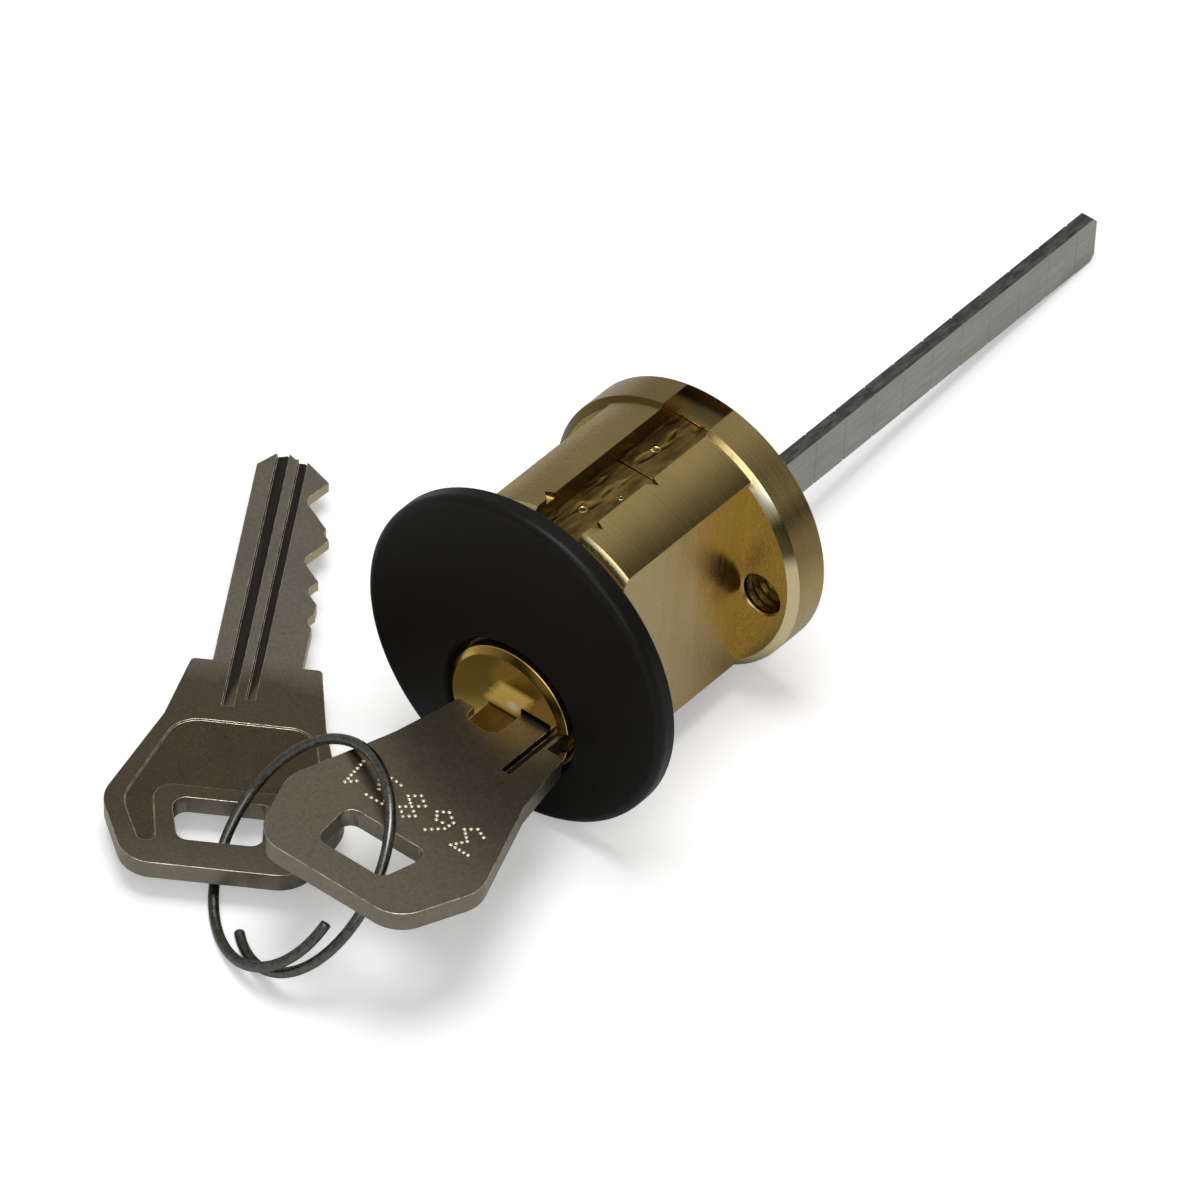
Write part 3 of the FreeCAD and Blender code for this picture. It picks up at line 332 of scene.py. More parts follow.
def machined_brass(colour):
    """Brass turned on its round faces and milled on its flats."""
    finish = Finish("machined_brass", colour, 1.0, 0.26)
    point = finish.point()
    x, y, z = finish.axes(point)
    nx, ny, _ = finish.facing()
    on_flat = (abs(nx) > 0.97) * (abs(x) < 8.2)
    on_end = abs(ny) > 0.9
    milled = finish.noise(point, stretch=(0.0, 1.7, 0.045), detail=4.0, rough=0.62)
    fine_milled = finish.noise(point, stretch=(0.0, 9.0, 0.10), detail=2.0)
    broad_milled = finish.noise(point, stretch=(0.0, 0.42, 0.02), detail=3.0)
    turned = finish.noise(point, stretch=(0.05, 7.0, 0.05), detail=3.0, rough=0.6)
    radius = (x * x + z * z) ** 0.5
    ring_place = finish.node("ShaderNodeCombineXYZ", values=[radius, 0.0, 0.0])
    rings = finish.noise(ring_place, stretch=(5.0, 1.0, 1.0), detail=3.0, rough=0.6)
    marks = finish.choose(on_flat, finish.choose(on_end, turned, rings),
                          milled * 0.35 + fine_milled * 0.2 + broad_milled * 0.45)
    clouds = finish.noise(point, stretch=0.16, detail=3.0)
    stain = finish.spread(clouds, 0.42, 0.72)
    grain = finish.noise(point, stretch=6.0, detail=2.0)
    tone = finish.mix(stain * 0.5, colour, shade_of(colour, 0.78))
    tone = finish.mix(finish.spread(marks, 0.35, 0.7) * 0.24, tone, shade_of(colour, 1.22))
    shadow = shade_of(colour, 0.10)
    # Painted shade: the barrel darkens from the slot's edge toward the right flat.
    angle = finish.node("ShaderNodeMath", {"operation": "ARCTAN2"}, [x, z])
    on_barrel = (1.0 - on_flat) * (abs(ny) < 0.4) * (y < 21.0) * (radius > 13.2)
    tone = finish.mix(finish.spread(angle, 0.22, 0.62, 0.0, 0.60) * on_barrel, tone, shadow)
    # Painted light and shade on the disc's rim: darker on the upper left, and on the right a
    # painted highlight beside a dark band.
    on_rim = (radius > 13.9) * (1.0 - on_end) * (y > 21.5)
    rim = finish.ramp(finish.spread(angle, -math.pi, math.pi), (
        (0.30, shade_of(colour, 1.0)), (0.42, shade_of(colour, 0.66)),
        (0.52, shade_of(colour, 0.74)), (0.60, shade_of(colour, 0.85)),
        (0.632, shade_of(colour, 1.6)), (0.655, shade_of(colour, 0.42)),
        (0.70, shade_of(colour, 0.50)), (0.745, shade_of(colour, 1.0))))
    tone = finish.mix(on_rim * 0.8, tone, rim)
    # Painted reflections on the flats: pale toward the flange and golden toward the disc.
    white_reflection = tinted(colour, (1.10, 1.16, 1.45))
    gold_reflection = tinted(colour, (0.98, 0.90, 0.78))
    along = finish.spread(y + (broad_milled - 0.5) * 9.0 + z * 0.25, 8.0, 17.0)
    tone = finish.mix(on_flat * 0.85, tone, finish.mix(along, white_reflection, gold_reflection))
    # Painted shade darkens the inside of the slot, and a painted highlight brightens the barrel's
    # broken front edge.
    shaded_slot = (abs(x) < 2.68) * (z > 9.0)
    tone = finish.mix(shaded_slot * (abs(nx) * 0.15 + 0.6), tone, shadow)
    front_edge_highlight = (y > 2.9) * (y < 3.7) * (abs(ny) > 0.4) * (1.0 - on_end)
    tone = finish.mix(front_edge_highlight * 0.85, tone, (1.0, 0.85, 0.45))
    # Painted reflection of the tapped hole: a dark patch on the flat beside it.
    spot = finish.distance(point, (7.8, 18.6, 0.6))
    hole_reflection = finish.spread(spot + (grain - 0.5) * 1.6, 0.9, 2.7, 0.66, 0.0) * on_flat
    tone = finish.mix(hole_reflection, tone, shade_of(colour, 0.28))
    # Painted light: the disc's front face gets a brighter gold than the rest of the brass.
    lit_disc_face = finish.spread(y, 20.0, 20.4) * finish.spread(y, 24.0, 24.4, 1.0, 0.0)
    tone = finish.mix(on_end * lit_disc_face, tone, finish.mix(marks, (0.84, 0.66, 0.22),
                                                        (0.96, 0.78, 0.31)))
    # Painted light and shade on the disc's chamfer: dark on the left, a painted highlight on the
    # upper right, then a dark band and pale gold further round.
    chamfer = (ny < -0.4) * (1.0 - on_end) * (y > 20.7) * (radius > 13.1)
    chamfer_light = finish.ramp(finish.spread(angle, -math.pi, math.pi), (
        (0.20, (0.10, 0.065, 0.015)), (0.49, (0.16, 0.105, 0.025)), (0.55, (0.66, 0.50, 0.22)),
        (0.60, (0.85, 0.70, 0.36)), (0.622, (1.0, 0.97, 0.80)), (0.641, (0.75, 0.66, 0.40)),
        (0.655, (0.10, 0.075, 0.025)), (0.690, (0.10, 0.075, 0.025)),
        (0.708, (0.95, 0.80, 0.46)), (0.83, (0.95, 0.82, 0.50)),
        (0.95, (0.52, 0.375, 0.145))))
    tone = finish.mix(chamfer * 0.9, tone, chamfer_light)
    finish.link("Base Color", tone)
    finish.link("Roughness", finish.spread(marks, 0.3, 0.7, 0.20, 0.34) + (grain - 0.5) * 0.08)
    finish.bumps(marks * (1.0 - on_flat * 0.4) + grain * 0.15, 0.007 * MM, 0.8)
    return finish.material


def plug_brass(colour):
    """Bright turned brass with rings about the plug's axis on its face."""
    finish = Finish("plug_brass", colour, 1.0, 0.2)
    point = finish.moved(finish.point(), place=(0.0, 0.0, -PLUG_AXIS.z / MM))
    x, y, z = finish.axes(point)
    on_face = abs(finish.facing()[1]) > 0.9
    radius = (x * x + z * z) ** 0.5
    ring_place = finish.node("ShaderNodeCombineXYZ", values=[radius, 0.0, 0.0])
    rings = finish.noise(ring_place, stretch=(7.0, 1.0, 1.0), detail=4.0, rough=0.65)
    turned = finish.noise(point, stretch=(0.05, 9.0, 0.05), detail=3.0)
    marks = finish.choose(on_face, turned, rings)
    grain = finish.noise(point, stretch=5.0, detail=3.0)
    tone = finish.mix(finish.spread(grain, 0.4, 0.75) * 0.4, colour, shade_of(colour, 0.72))
    # Painted shade darkens the head's chamfer, most on the right, and leaves its outer rim
    # bright.
    before = finish.spread(y, -2.0, -1.9, 1.0, 0.0)
    sloped = (1.0 - on_face) * before * finish.spread(radius, 6.68, 6.71, 1.0, 0.0)
    chamfer_shade = sloped * finish.spread(x, -4.5, 0.5, 0.15, 0.96)
    tone = finish.mix(chamfer_shade, tone, shade_of(colour, 0.035))
    # Painted reflection over the keyway: a pale slanted patch of less metallic brass on the face,
    # with a painted highlight beside the blade.
    slant = abs(x - (z - 0.6) * 0.57 + 0.5) + (grain - 0.5) * 1.2
    reflection_patch = finish.spread(slant, 1.55, 2.35, 1.0, 0.0) * finish.spread(
        abs(z - 1.95), 1.15, 1.8, 1.0, 0.0) * on_face
    highlight_spot = finish.distance(finish.moved(point, stretch=(0.7, 0.0, 1.0)), (0.52, 0.0, 1.35))
    patch_reflection = finish.mix(finish.spread(highlight_spot, 0.25, 0.6, 1.0, 0.0), (1.0, 0.66, 0.17),
                        (1.0, 0.95, 0.72))
    tone = finish.mix(reflection_patch, tone, patch_reflection)
    finish.link("Metallic", 1.0 - reflection_patch * 0.85)
    finish.link("Base Color", tone)
    finish.roughen(marks, 0.14, 0.30)
    finish.bumps(marks + grain * 0.2, 0.012 * MM, 0.8)
    return finish.material


# Punch marks in the cover strips: place and radius in millimetres.
STRIP_MARKS = (((-0.84, 7.94, 11.25), 0.34), ((-0.99, 18.67, 11.25), 0.34),
               ((0.75, 11.4, 11.25), 0.22))


def strip_brass(colour):
    """Dull rolled brass with brown tarnish, shallow dents and a few punch marks with painted
    highlights on their rims.
    """
    finish = Finish("strip_brass", colour, 1.0, 0.36)
    point = finish.point()
    drawn = finish.noise(point, stretch=(3.5, 0.18, 3.5), detail=4.0, rough=0.6)
    clouds = finish.noise(point, stretch=(0.55, 0.3, 0.55), detail=3.0)
    dents = finish.spread(finish.noise(point, stretch=(0.9, 0.32, 0.9), detail=1.0), 0.30, 0.48)
    tone = finish.mottled(clouds, 0.38, 0.66, colour, 0.55, 1.25)
    tone = finish.mix(finish.spread(drawn, 0.45, 0.75) * 0.45, tone, shade_of(colour, 1.7))
    height = drawn * 0.25 + clouds * 0.5 + dents * 2.2
    for place, radius in STRIP_MARKS:
        away = finish.distance(point, place)
        crater = finish.spread(away, radius * 0.5, radius)
        # Each punch mark's rim gets a painted highlight as well as a raised bump.
        rim = finish.spread(abs(away - radius), 0.0, radius * 0.5, 1.0, 0.0)
        tone = finish.mix(rim * 0.8, tone, (0.85, 0.66, 0.30))
        height = height + crater * 1.2 + rim * 0.8
    finish.link("Base Color", tone)
    finish.roughen(drawn, 0.24, 0.44)
    finish.bumps(height, 0.05 * MM, 0.9)
    return finish.material


def satin_black(colour):
    """Black lacquer with a fine grain and a patchy sheen."""
    finish = Finish("satin_black", colour, 0.0, 0.4)
    point = finish.point()
    grain = finish.noise(point, stretch=4.5, detail=3.0, rough=0.6)
    peel = finish.noise(point, stretch=1.1, detail=2.0)
    clouds = finish.noise(point, stretch=0.12, detail=3.0)
    finish.link("Base Color", finish.mottled(grain, 0.35, 0.7, colour, 0.75, 1.5))
    # The plug's mouth is bare and matt.
    from_plug = finish.distance(finish.moved(point, stretch=(1.0, 0.0, 1.0)),
                                (0.0, 0.0, PLUG_AXIS.z / MM))
    mouth = finish.spread(from_plug, 7.55, 7.9, 1.0, 0.0)
    sheen = finish.spread(clouds, 0.35, 0.7, 0.34, 0.46)
    finish.link("Roughness", finish.choose(mouth, sheen, 1.0))
    finish.bumps(peel + grain * 0.3, 0.012 * MM, 0.7)
    finish.shader.inputs["Specular IOR Level"].default_value = 0.2
    return finish.material


def tumbled_nickel(colour, name, bow_tone):
    """Nickel silver with the fine mottled grain of a tumbled blank, darker and browner on the
    bow's flat faces, less so at its end.
    """
    finish = Finish(name, colour, 1.0, 0.3)
    point = finish.point()
    grain = finish.noise(point, stretch=3.4, detail=4.0, rough=0.65)
    fine = finish.noise(point, stretch=11.0, detail=2.0)
    clouds = finish.noise(point, stretch=0.14, detail=3.0)
    tone = finish.mottled(grain, 0.36, 0.66, colour, 0.88, 1.12)
    tone = finish.mix(finish.spread(clouds, 0.42, 0.7) * 0.4, tone, shade_of(colour, 0.72))
    place = finish.node("ShaderNodeUVMap", {"uv_map": "key_plane"})
    along = finish.axes(place)[1]
    bow = finish.spread(along + (clouds - 0.5) * 0.10, 0.45, 0.51, 1.0, 0.0)
    level = abs(finish.facing()[2]) > 0.7
    bow = bow * finish.spread(along, 0.07, 0.15, 0.55, 1.0) * level
    tone = finish.mix(bow * 0.9, tone, finish.mottled(grain, 0.36, 0.66, bow_tone, 0.86, 1.14))
    finish.link("Base Color", tone)
    finish.roughen(grain, 0.30, 0.33)
    finish.bumps(grain + fine * 0.3, 0.004 * MM, 0.5)
    return finish.material


def cutter_marks(colour, name, roughness):
    """Metal under a milling cutter, with lines along the key."""
    finish = Finish(name, colour, 1.0, roughness)
    place = finish.node("ShaderNodeUVMap", {"uv_map": "key_plane"})
    lines = finish.noise(place, stretch=(420.0, 6.0, 1.0), detail=3.0, rough=0.6)
    point = finish.point()
    grain = finish.noise(point, stretch=5.0, detail=3.0)
    finish.link("Base Color", finish.mottled(lines, 0.35, 0.65, colour, 0.8, 1.15))
    finish.roughen(grain, roughness - 0.05, roughness + 0.08)
    finish.bumps(lines + grain * 0.3, 0.012 * MM, 0.7)
    return finish.material


def groove_floor(colour):
    """Painted shade on the floors and walls of the lower grooves, paling where the cutter left
    the bow.
    """
    finish = Finish("dark_groove", shade_of(colour, 0.16), 1.0, 0.4)
    place = finish.node("ShaderNodeUVMap", {"uv_map": "key_plane"})
    across, along, _ = finish.axes(place)
    lines = finish.noise(place, stretch=(420.0, 6.0, 1.0), detail=3.0, rough=0.6)
    grain = finish.noise(finish.point(), stretch=5.0, detail=3.0)
    dark = finish.mottled(lines, 0.35, 0.65, colour, 0.10, 0.17)
    # Place across each groove, from its wall toward the back edge, in millimetres.
    first = (across - 0.5) * KEY_MAP - 3.55
    second = (across - 0.5) * KEY_MAP - 1.73
    width = finish.choose(first > 0.0, second, first)
    left = finish.spread(along * KEY_MAP - KEY_MAP / 2, -5.6, 0.4)
    ramp = finish.spread(1.1 - width - left * 1.3, -0.05, 0.35)
    finish.link("Base Color", finish.mix(ramp, dark, tinted(colour, (0.52, 0.48, 0.40))))
    finish.roughen(grain, 0.35, 0.48)
    finish.bumps(lines + grain * 0.3, 0.012 * MM, 0.7)
    return finish.material


def dark_panel(colour):
    """Grainy, darker metal of the pressed panel in the bow."""
    finish = Finish("dark_panel", colour, 1.0, 0.5)
    point = finish.point()
    grain = finish.noise(point, stretch=5.5, detail=5.0, rough=0.75)
    clouds = finish.noise(point, stretch=0.3, detail=3.0)
    tone = finish.mottled(grain, 0.38, 0.64, colour, 0.72, 1.25)
    tone = finish.mix(finish.spread(clouds, 0.42, 0.7) * 0.4, tone, shade_of(colour, 0.7))
    finish.link("Base Color", tone)
    finish.roughen(grain, 0.42, 0.58)
    finish.bumps(grain, 0.035 * MM, 0.9)
    return finish.material


def worn_edge(colour):
    """Rubbed edges of the keys, made brighter still as a painted highlight."""
    finish = Finish("worn_edge", colour, 1.0, 0.3)
    point = finish.point()
    rub = finish.noise(point, stretch=1.3, detail=4.0, rough=0.65)
    finish.link("Base Color", finish.mottled(rub, 0.38, 0.6, colour, 0.55, 1.15))
    finish.roughen(rub, 0.24, 0.40)
    finish.bumps(rub, 0.02 * MM, 0.7)
    return finish.material


def punched_dot(colour):
    """Burnished bowls of the punched number, made bright as a painted highlight."""
    finish = Finish("punched_dot", colour, 1.0, 0.32)
    point = finish.point()
    grain = finish.noise(point, stretch=9.0, detail=3.0)
    finish.link("Base Color", finish.mix(grain, shade_of(colour, 0.9), colour))
    finish.roughen(grain, 0.26, 0.38)
    finish.bumps(grain, 0.01 * MM, 0.7)
    return finish.material


def fresh_cut(colour):
    """Brighter, yellower metal where the key's blank was cut."""
    finish = Finish("fresh_cut", colour, 1.0, 0.3)
    point = finish.point()
    tool_marks = finish.noise(point, stretch=(1.0, 1.0, 7.0), detail=3.0)
    finish.link("Base Color", finish.mix(tool_marks, shade_of(colour, 0.85),
                                         shade_of(colour, 1.25)))
    finish.roughen(tool_marks, 0.24, 0.4)
    finish.bumps(tool_marks, 0.02 * MM, 0.8)
    return finish.material


def plated_steel(colour):
    """Dull plated steel, drawn along the bar."""
    finish = Finish("plated_steel", colour, 1.0, 0.38)
    point = finish.point()
    drawn = finish.noise(point, stretch=(4.0, 0.22, 4.0), detail=4.0, rough=0.6)
    clouds = finish.noise(point, stretch=(0.3, 0.12, 0.3), detail=3.0)
    grain = finish.noise(point, stretch=5.0, detail=3.0)
    tone = finish.mottled(drawn, 0.35, 0.7, colour, 0.86, 1.12)
    tone = finish.mix(finish.spread(clouds, 0.4, 0.7) * 0.4, tone, shade_of(colour, 0.78))
    finish.link("Base Color", tone)
    finish.roughen(grain, 0.3, 0.46)
    finish.bumps(drawn + grain * 0.4, 0.018 * MM, 0.8)
    return finish.material


def sheared_steel(colour):
    """Dark sheared edge of the tail bar."""
    finish = Finish("sheared_steel", colour, 1.0, 0.45)
    point = finish.point()
    tear = finish.noise(point, stretch=(2.4, 0.5, 2.4), detail=4.0, rough=0.7)
    finish.link("Base Color", finish.mottled(tear, 0.38, 0.66, colour, 0.7, 1.5))
    finish.roughen(tear, 0.38, 0.56)
    finish.bumps(tear, 0.04 * MM, 0.8)
    return finish.material


def shaded_hole_brass(colour):
    """Brass inside the tapped holes, darkened as painted shade."""
    finish = Finish("shaded_thread_brass", colour, 1.0, 0.3)
    point = finish.point()
    blotches = finish.noise(point, stretch=1.4, detail=4.0, rough=0.6)
    finish.link("Base Color", finish.mottled(blotches, 0.4, 0.62, colour, 0.5, 1.8))
    finish.roughen(blotches, 0.22, 0.4)
    finish.bumps(blotches, 0.02 * MM, 0.7)
    return finish.material


def drawn_wire(colour, name="drawn_wire"):
    """Drawn steel wire with faint scale."""
    finish = Finish(name, colour, 1.0, 0.28)
    point = finish.point()
    scale = finish.noise(point, stretch=1.6, detail=4.0, rough=0.65)
    fine = finish.noise(point, stretch=9.0, detail=2.0)
    finish.link("Base Color", finish.mottled(scale, 0.38, 0.7, colour, 0.75, 1.3))
    finish.roughen(scale, 0.2, 0.4)
    finish.bumps(fine, 0.01 * MM, 0.7)
    return finish.material


def pale_floor(colour):
    """Matt pale board. It looks lighter to the camera than in the metal's reflections."""
    finish = Finish("pale_floor", colour, 0.0, 0.9)
    point = finish.point()
    fibre = finish.noise(point, stretch=0.5, detail=3.0)
    seen = finish.node("ShaderNodeLightPath", output="Is Camera Ray")
    mirrored = finish.node("ShaderNodeLightPath", output="Is Glossy Ray")
    tone = finish.mix(fibre, shade_of(colour, 0.99), colour)
    finish.link("Base Color", finish.mix(mirrored, tone, shade_of(colour, 0.66)))
    finish.shader.inputs["Emission Strength"].default_value = 1.0
    finish.link("Emission Color", finish.mix(seen, (0.0, 0.0, 0.0), (0.34, 0.34, 0.34)))
    finish.shader.inputs["Specular IOR Level"].default_value = 0.1
    return finish.material


FINISHES = {}


def finish_named(name):
    """One material for each finish, made when it is first asked for."""
    colours = bpy.context.scene.lock_colours
    makers = {
        "machined_brass": lambda: machined_brass(tuple(colours.brass)),
        "plug_brass": lambda: plug_brass(tuple(colours.plug_brass)),
        "strip_brass": lambda: strip_brass(tuple(colours.strip)),
        "satin_black": lambda: satin_black(tuple(colours.black)),
        "tumbled_nickel": lambda: tumbled_nickel(tuple(colours.nickel), "tumbled_nickel",
                                                 tinted(colours.nickel, (0.95, 0.90, 0.82))),
        "browned_nickel": lambda: tumbled_nickel(tuple(colours.nickel), "browned_nickel",
                                                 tinted(colours.nickel, (0.46, 0.40, 0.32))),
        "fresh_cut": lambda: fresh_cut((0.55, 0.48, 0.29)),
        "worn_edge": lambda: worn_edge((0.66, 0.60, 0.46)),
        "dark_panel": lambda: dark_panel(tinted(colours.nickel, (0.30, 0.26, 0.21))),
        "dark_groove": lambda: groove_floor(tuple(colours.nickel)),
        # The upper channel's gold colour is a painted reflection of the plug's brass face.
        "milled_channel": lambda: cutter_marks((0.20, 0.15, 0.06), "milled_channel", 0.2),
        "shaded_thread_brass": lambda: shaded_hole_brass((0.10, 0.06, 0.014)),
        "sheared_steel": lambda: sheared_steel(shade_of(tuple(colours.steel), 0.25)),
        "punched_dot": lambda: punched_dot((0.95, 0.90, 0.74)),
        "plated_steel": lambda: plated_steel(tuple(colours.steel)),
        "drawn_wire": lambda: drawn_wire(tuple(colours.wire)),
        "spring_wire": lambda: drawn_wire(shade_of(tuple(colours.wire), 2.0), "spring_wire"),
        "pale_floor": lambda: pale_floor(tuple(colours.floor)),
    }
    if name not in FINISHES:
        FINISHES[name] = makers[name]()
    return FINISHES[name]


# Modelling helpers

def select_only(piece):
    bpy.ops.object.select_all(action="DESELECT")
    piece.select_set(True)
    bpy.context.view_layer.objects.active = piece


def copy_of(node, name):
    """A merged copy of a frame node, with its flat faces joined."""
    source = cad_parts[node]
    select_only(source)
    bpy.ops.object.duplicate()
    piece = bpy.context.view_layer.objects.active
    piece.name = name
    piece.data.name = name
    bpy.ops.object.mode_set(mode="EDIT")
    bpy.ops.mesh.select_all(action="SELECT")
    bpy.ops.mesh.remove_doubles(threshold=0.002 * MM)
    bpy.ops.mesh.customdata_custom_splitnormals_clear()
    bpy.ops.mesh.dissolve_limited(angle_limit=math.radians(0.3))
    bpy.ops.mesh.normals_make_consistent(inside=False)
    bpy.ops.object.mode_set(mode="OBJECT")
    return piece


def apply_all(piece):
    select_only(piece)
    for modifier in list(piece.modifiers):
        bpy.ops.object.modifier_apply(modifier=modifier.name)


def soften(piece, width, segments=2, angle=30.0, edge_slot=-1):
    """Breaks the edges that turn by more than the angle and smooths the rest."""
    bevel = piece.modifiers.new("edge", "BEVEL")
    bevel.width = width
    bevel.segments = segments
    bevel.limit_method = "ANGLE"
    bevel.angle_limit = math.radians(angle)
    bevel.material = edge_slot
    apply_all(piece)
    smooth(piece, angle)
    even_normals(piece)


def even_normals(piece):
    """Lets the large faces set the normals, so that they look flat beside their broken edges."""
    weighted = piece.modifiers.new("normals", "WEIGHTED_NORMAL")
    weighted.mode = "FACE_AREA"
    weighted.weight = 100
    weighted.keep_sharp = True
    apply_all(piece)


def smooth(piece, angle=30.0):
    select_only(piece)
    bpy.ops.object.shade_smooth_by_angle(angle=math.radians(angle))


def dress(piece, finish, body, slot, *nodes):
    """Gives a finished piece its material, its body and the nodes that it stands for."""
    piece.data.materials.clear()
    piece.data.materials.append(finish_named(finish))
    seat(piece, body, slot, *nodes)


def seat(piece, body, slot, *nodes):
    select_only(piece)
    bpy.ops.object.transform_apply(location=True, rotation=True, scale=True)
    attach(piece, body)
    if nodes:
        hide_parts(*nodes)


def repaint(node, finish):
    """A frame node that keeps its shape and gets a finish."""
    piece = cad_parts[node]
    piece.data.materials.clear()
    piece.data.materials.append(finish_named(finish))


# Pieces

class CYLINDERLOCK_OT_flange(bpy.types.Operator):
    """Finish the black flange"""
    bl_idname = "cylinderlock.flange"
    bl_label = "Flange"

    def execute(self, context):
        repaint("flange", "satin_black")
        return {"FINISHED"}


class CYLINDERLOCK_OT_body(bpy.types.Operator):
    """Make the brass body with broken edges"""
    bl_idname = "cylinderlock.body"
    bl_label = "Cylinder body"

    def execute(self, context):
        body = copy_of("cylinder_body", "brass_body")
        soften(body, context.scene.lock_sizes.body_edge)
        dress(body, "machined_brass", "root", "body_brass", "cylinder_body")
        # The bores of the tapped holes get the painted shade as well.
        body.data.materials.append(finish_named("shaded_thread_brass"))
        for face in body.data.polygons:
            away = math.hypot(abs(face.center.x) - TAP_OFFSET, face.center.z + TAP_DROP)
            if away < TAP_CORE + 0.05 * MM and face.center.y > DISC_FRONT:
                face.material_index = 1
        return {"FINISHED"}


class CYLINDERLOCK_OT_covers(bpy.types.Operator):
    """Make the two cover strips with their rolled edges"""
    bl_idname = "cylinderlock.covers"
    bl_label = "Cover strips"

    def execute(self, context):
        for node in ("cover_front", "cover_rear"):
            strip = copy_of(node, node + "_strip")
            soften(strip, context.scene.lock_sizes.body_edge)
            dress(strip, "strip_brass", "root", "cover_brass", node)
        return {"FINISHED"}


class CYLINDERLOCK_OT_threads(bpy.types.Operator):
    """Make the thread ridges inside the two tapped holes"""
    bl_idname = "cylinderlock.threads"
    bl_label = "Threads"

    def execute(self, context):
        sizes = context.scene.lock_sizes
        rear = BODY_REAR - 0.3 * MM
        for side, name in ((1, "thread_right"), (-1, "thread_left")):
            self.ridge(name, Vector((side * TAP_OFFSET, 0, -TAP_DROP)), TAP_CORE,
                       DISC_FRONT, rear, sizes)
        return {"FINISHED"}

    def ridge(self, name, centre, core, front, rear, sizes):
        """A triangle drawn in the XY plane and screwed round the hole's axis."""
        pitch = sizes.thread_pitch
        turns = int((rear - front - pitch) / pitch)
        root = core - 0.01 * MM
        crest = core - sizes.thread_height
        mesh = bpy.data.meshes.new(name)
        profile = [(root, 0.06 * pitch), (crest, 0.44 * pitch), (crest, 0.56 * pitch),
                   (root, 0.94 * pitch)]
        points = [(r, front + along, 0.0) for r, along in profile]
        mesh.from_pydata(points, [(0, 1), (1, 2), (2, 3), (3, 0)], [])
        piece = bpy.data.objects.new(name, mesh)
        bpy.context.scene.collection.objects.link(piece)
        screw = piece.modifiers.new("screw", "SCREW")
        screw.axis = "Y"
        screw.screw_offset = pitch
        screw.iterations = turns
        screw.steps = 40
        screw.render_steps = 40
        screw.use_normal_calculate = True
        apply_all(piece)
        self.close_ends(piece)
        piece.location = centre
        smooth(piece, 25.0)
        dress(piece, "shaded_thread_brass", "root", "body_brass")

    def close_ends(self, piece):
        select_only(piece)
        bpy.ops.object.mode_set(mode="EDIT")
        bpy.ops.mesh.select_all(action="SELECT")
        bpy.ops.mesh.remove_doubles(threshold=0.0005 * MM)
        bpy.ops.mesh.select_all(action="DESELECT")
        bpy.ops.mesh.select_mode(type="EDGE")
        bpy.ops.mesh.select_non_manifold()
        bpy.ops.mesh.edge_face_add()
        bpy.ops.mesh.select_all(action="SELECT")
        bpy.ops.mesh.normals_make_consistent(inside=False)
        bpy.ops.object.mode_set(mode="OBJECT")


class CYLINDERLOCK_OT_plug(bpy.types.Operator):
    """Make the turned plug, its retaining clip and the tail rivet"""
    bl_idname = "cylinderlock.plug"
    bl_label = "Plug"

    def execute(self, context):
        sizes = context.scene.lock_sizes
        plug = copy_of("plug", "turned_plug")
        soften(plug, 0.06 * MM)
        dress(plug, "plug_brass", "plug_body", "plug_brass", "plug")
        clip = copy_of("plug_clip", "retaining_clip")
        soften(clip, sizes.steel_edge)
        dress(clip, "plated_steel", "plug_body", "clip_steel", "plug_clip")
        rivet = copy_of("tail_rivet", "rivet_pin")
        soften(rivet, 0.15 * MM, 3)
        dress(rivet, "plated_steel", "plug_body", "clip_steel", "tail_rivet")
        return {"FINISHED"}


class CYLINDERLOCK_OT_tail(bpy.types.Operator):
    """Make the snap-off tail bar"""
    bl_idname = "cylinderlock.tail"
    bl_label = "Tail bar"

    def execute(self, context):
        bar = copy_of("tail_bar", "snap_off_bar")
        soften(bar, context.scene.lock_sizes.steel_edge, 2, 40.0)
        dress(bar, "plated_steel", "tail", "tail_steel", "tail_bar")
        bar.data.materials.append(finish_named("sheared_steel"))
        for face in bar.data.polygons:
            if abs(face.normal.z) > 0.3:
                face.material_index = 1
        return {"FINISHED"}


class CYLINDERLOCK_OT_pins(bpy.types.Operator):
    """Finish the pin stacks and make the springs that their joints squeeze"""
    bl_idname = "cylinderlock.pins"
    bl_label = "Pins and springs"

    def execute(self, context):
        for number in range(1, PIN_COUNT + 1):
            repaint("key_pin_%d" % number, "plug_brass")
            repaint("driver_pin_%d" % number, "plug_brass")
            node = "pin_spring_%d" % number
            spring = copy_of(node, "coil_%d" % number)
            smooth(spring, 60.0)
            dress(spring, "spring_wire", "root", "spring_steel", node)
            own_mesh(spring)
        return {"FINISHED"}


# Strokes of each digit on a grid 2 wide and 4 high, drawn from its upper left.
DIGIT_STROKES = {
    "0": [(0, 0), (2, 0), (2, 4), (0, 4), (0, 0)],
    "1": [(0.4, 1), (1.2, 0), (1.2, 4)],
    "2": [(0, 0.6), (1, 0), (2, 0.8), (0, 4), (2, 4)],
    "3": [(0, 0), (2, 0), (1, 1.7), (2, 3), (1, 4), (0, 3.4)],
    "4": [(1.5, 4), (1.5, 0), (0, 2.7), (2, 2.7)],
    "5": [(2, 0), (0.2, 0), (0, 1.8), (1.4, 1.6), (2, 2.8), (1.2, 4), (0, 3.8)],
    "6": [(1.7, 0), (0.3, 1.6), (0, 3), (1, 4), (2, 3.2), (1.5, 2.1), (0.2, 2.3)],
    "7": [(0, 0), (2, 0), (0.7, 4)],
    "8": [(1, 1.9), (0.1, 1), (1, 0), (1.9, 1), (1, 1.9), (0, 3), (1, 4), (2, 3), (1, 1.9)],
    "9": [(0.3, 4), (1.8, 2.2), (2, 1), (1, 0), (0, 0.9), (0.6, 1.9), (1.8, 1.7)],
}


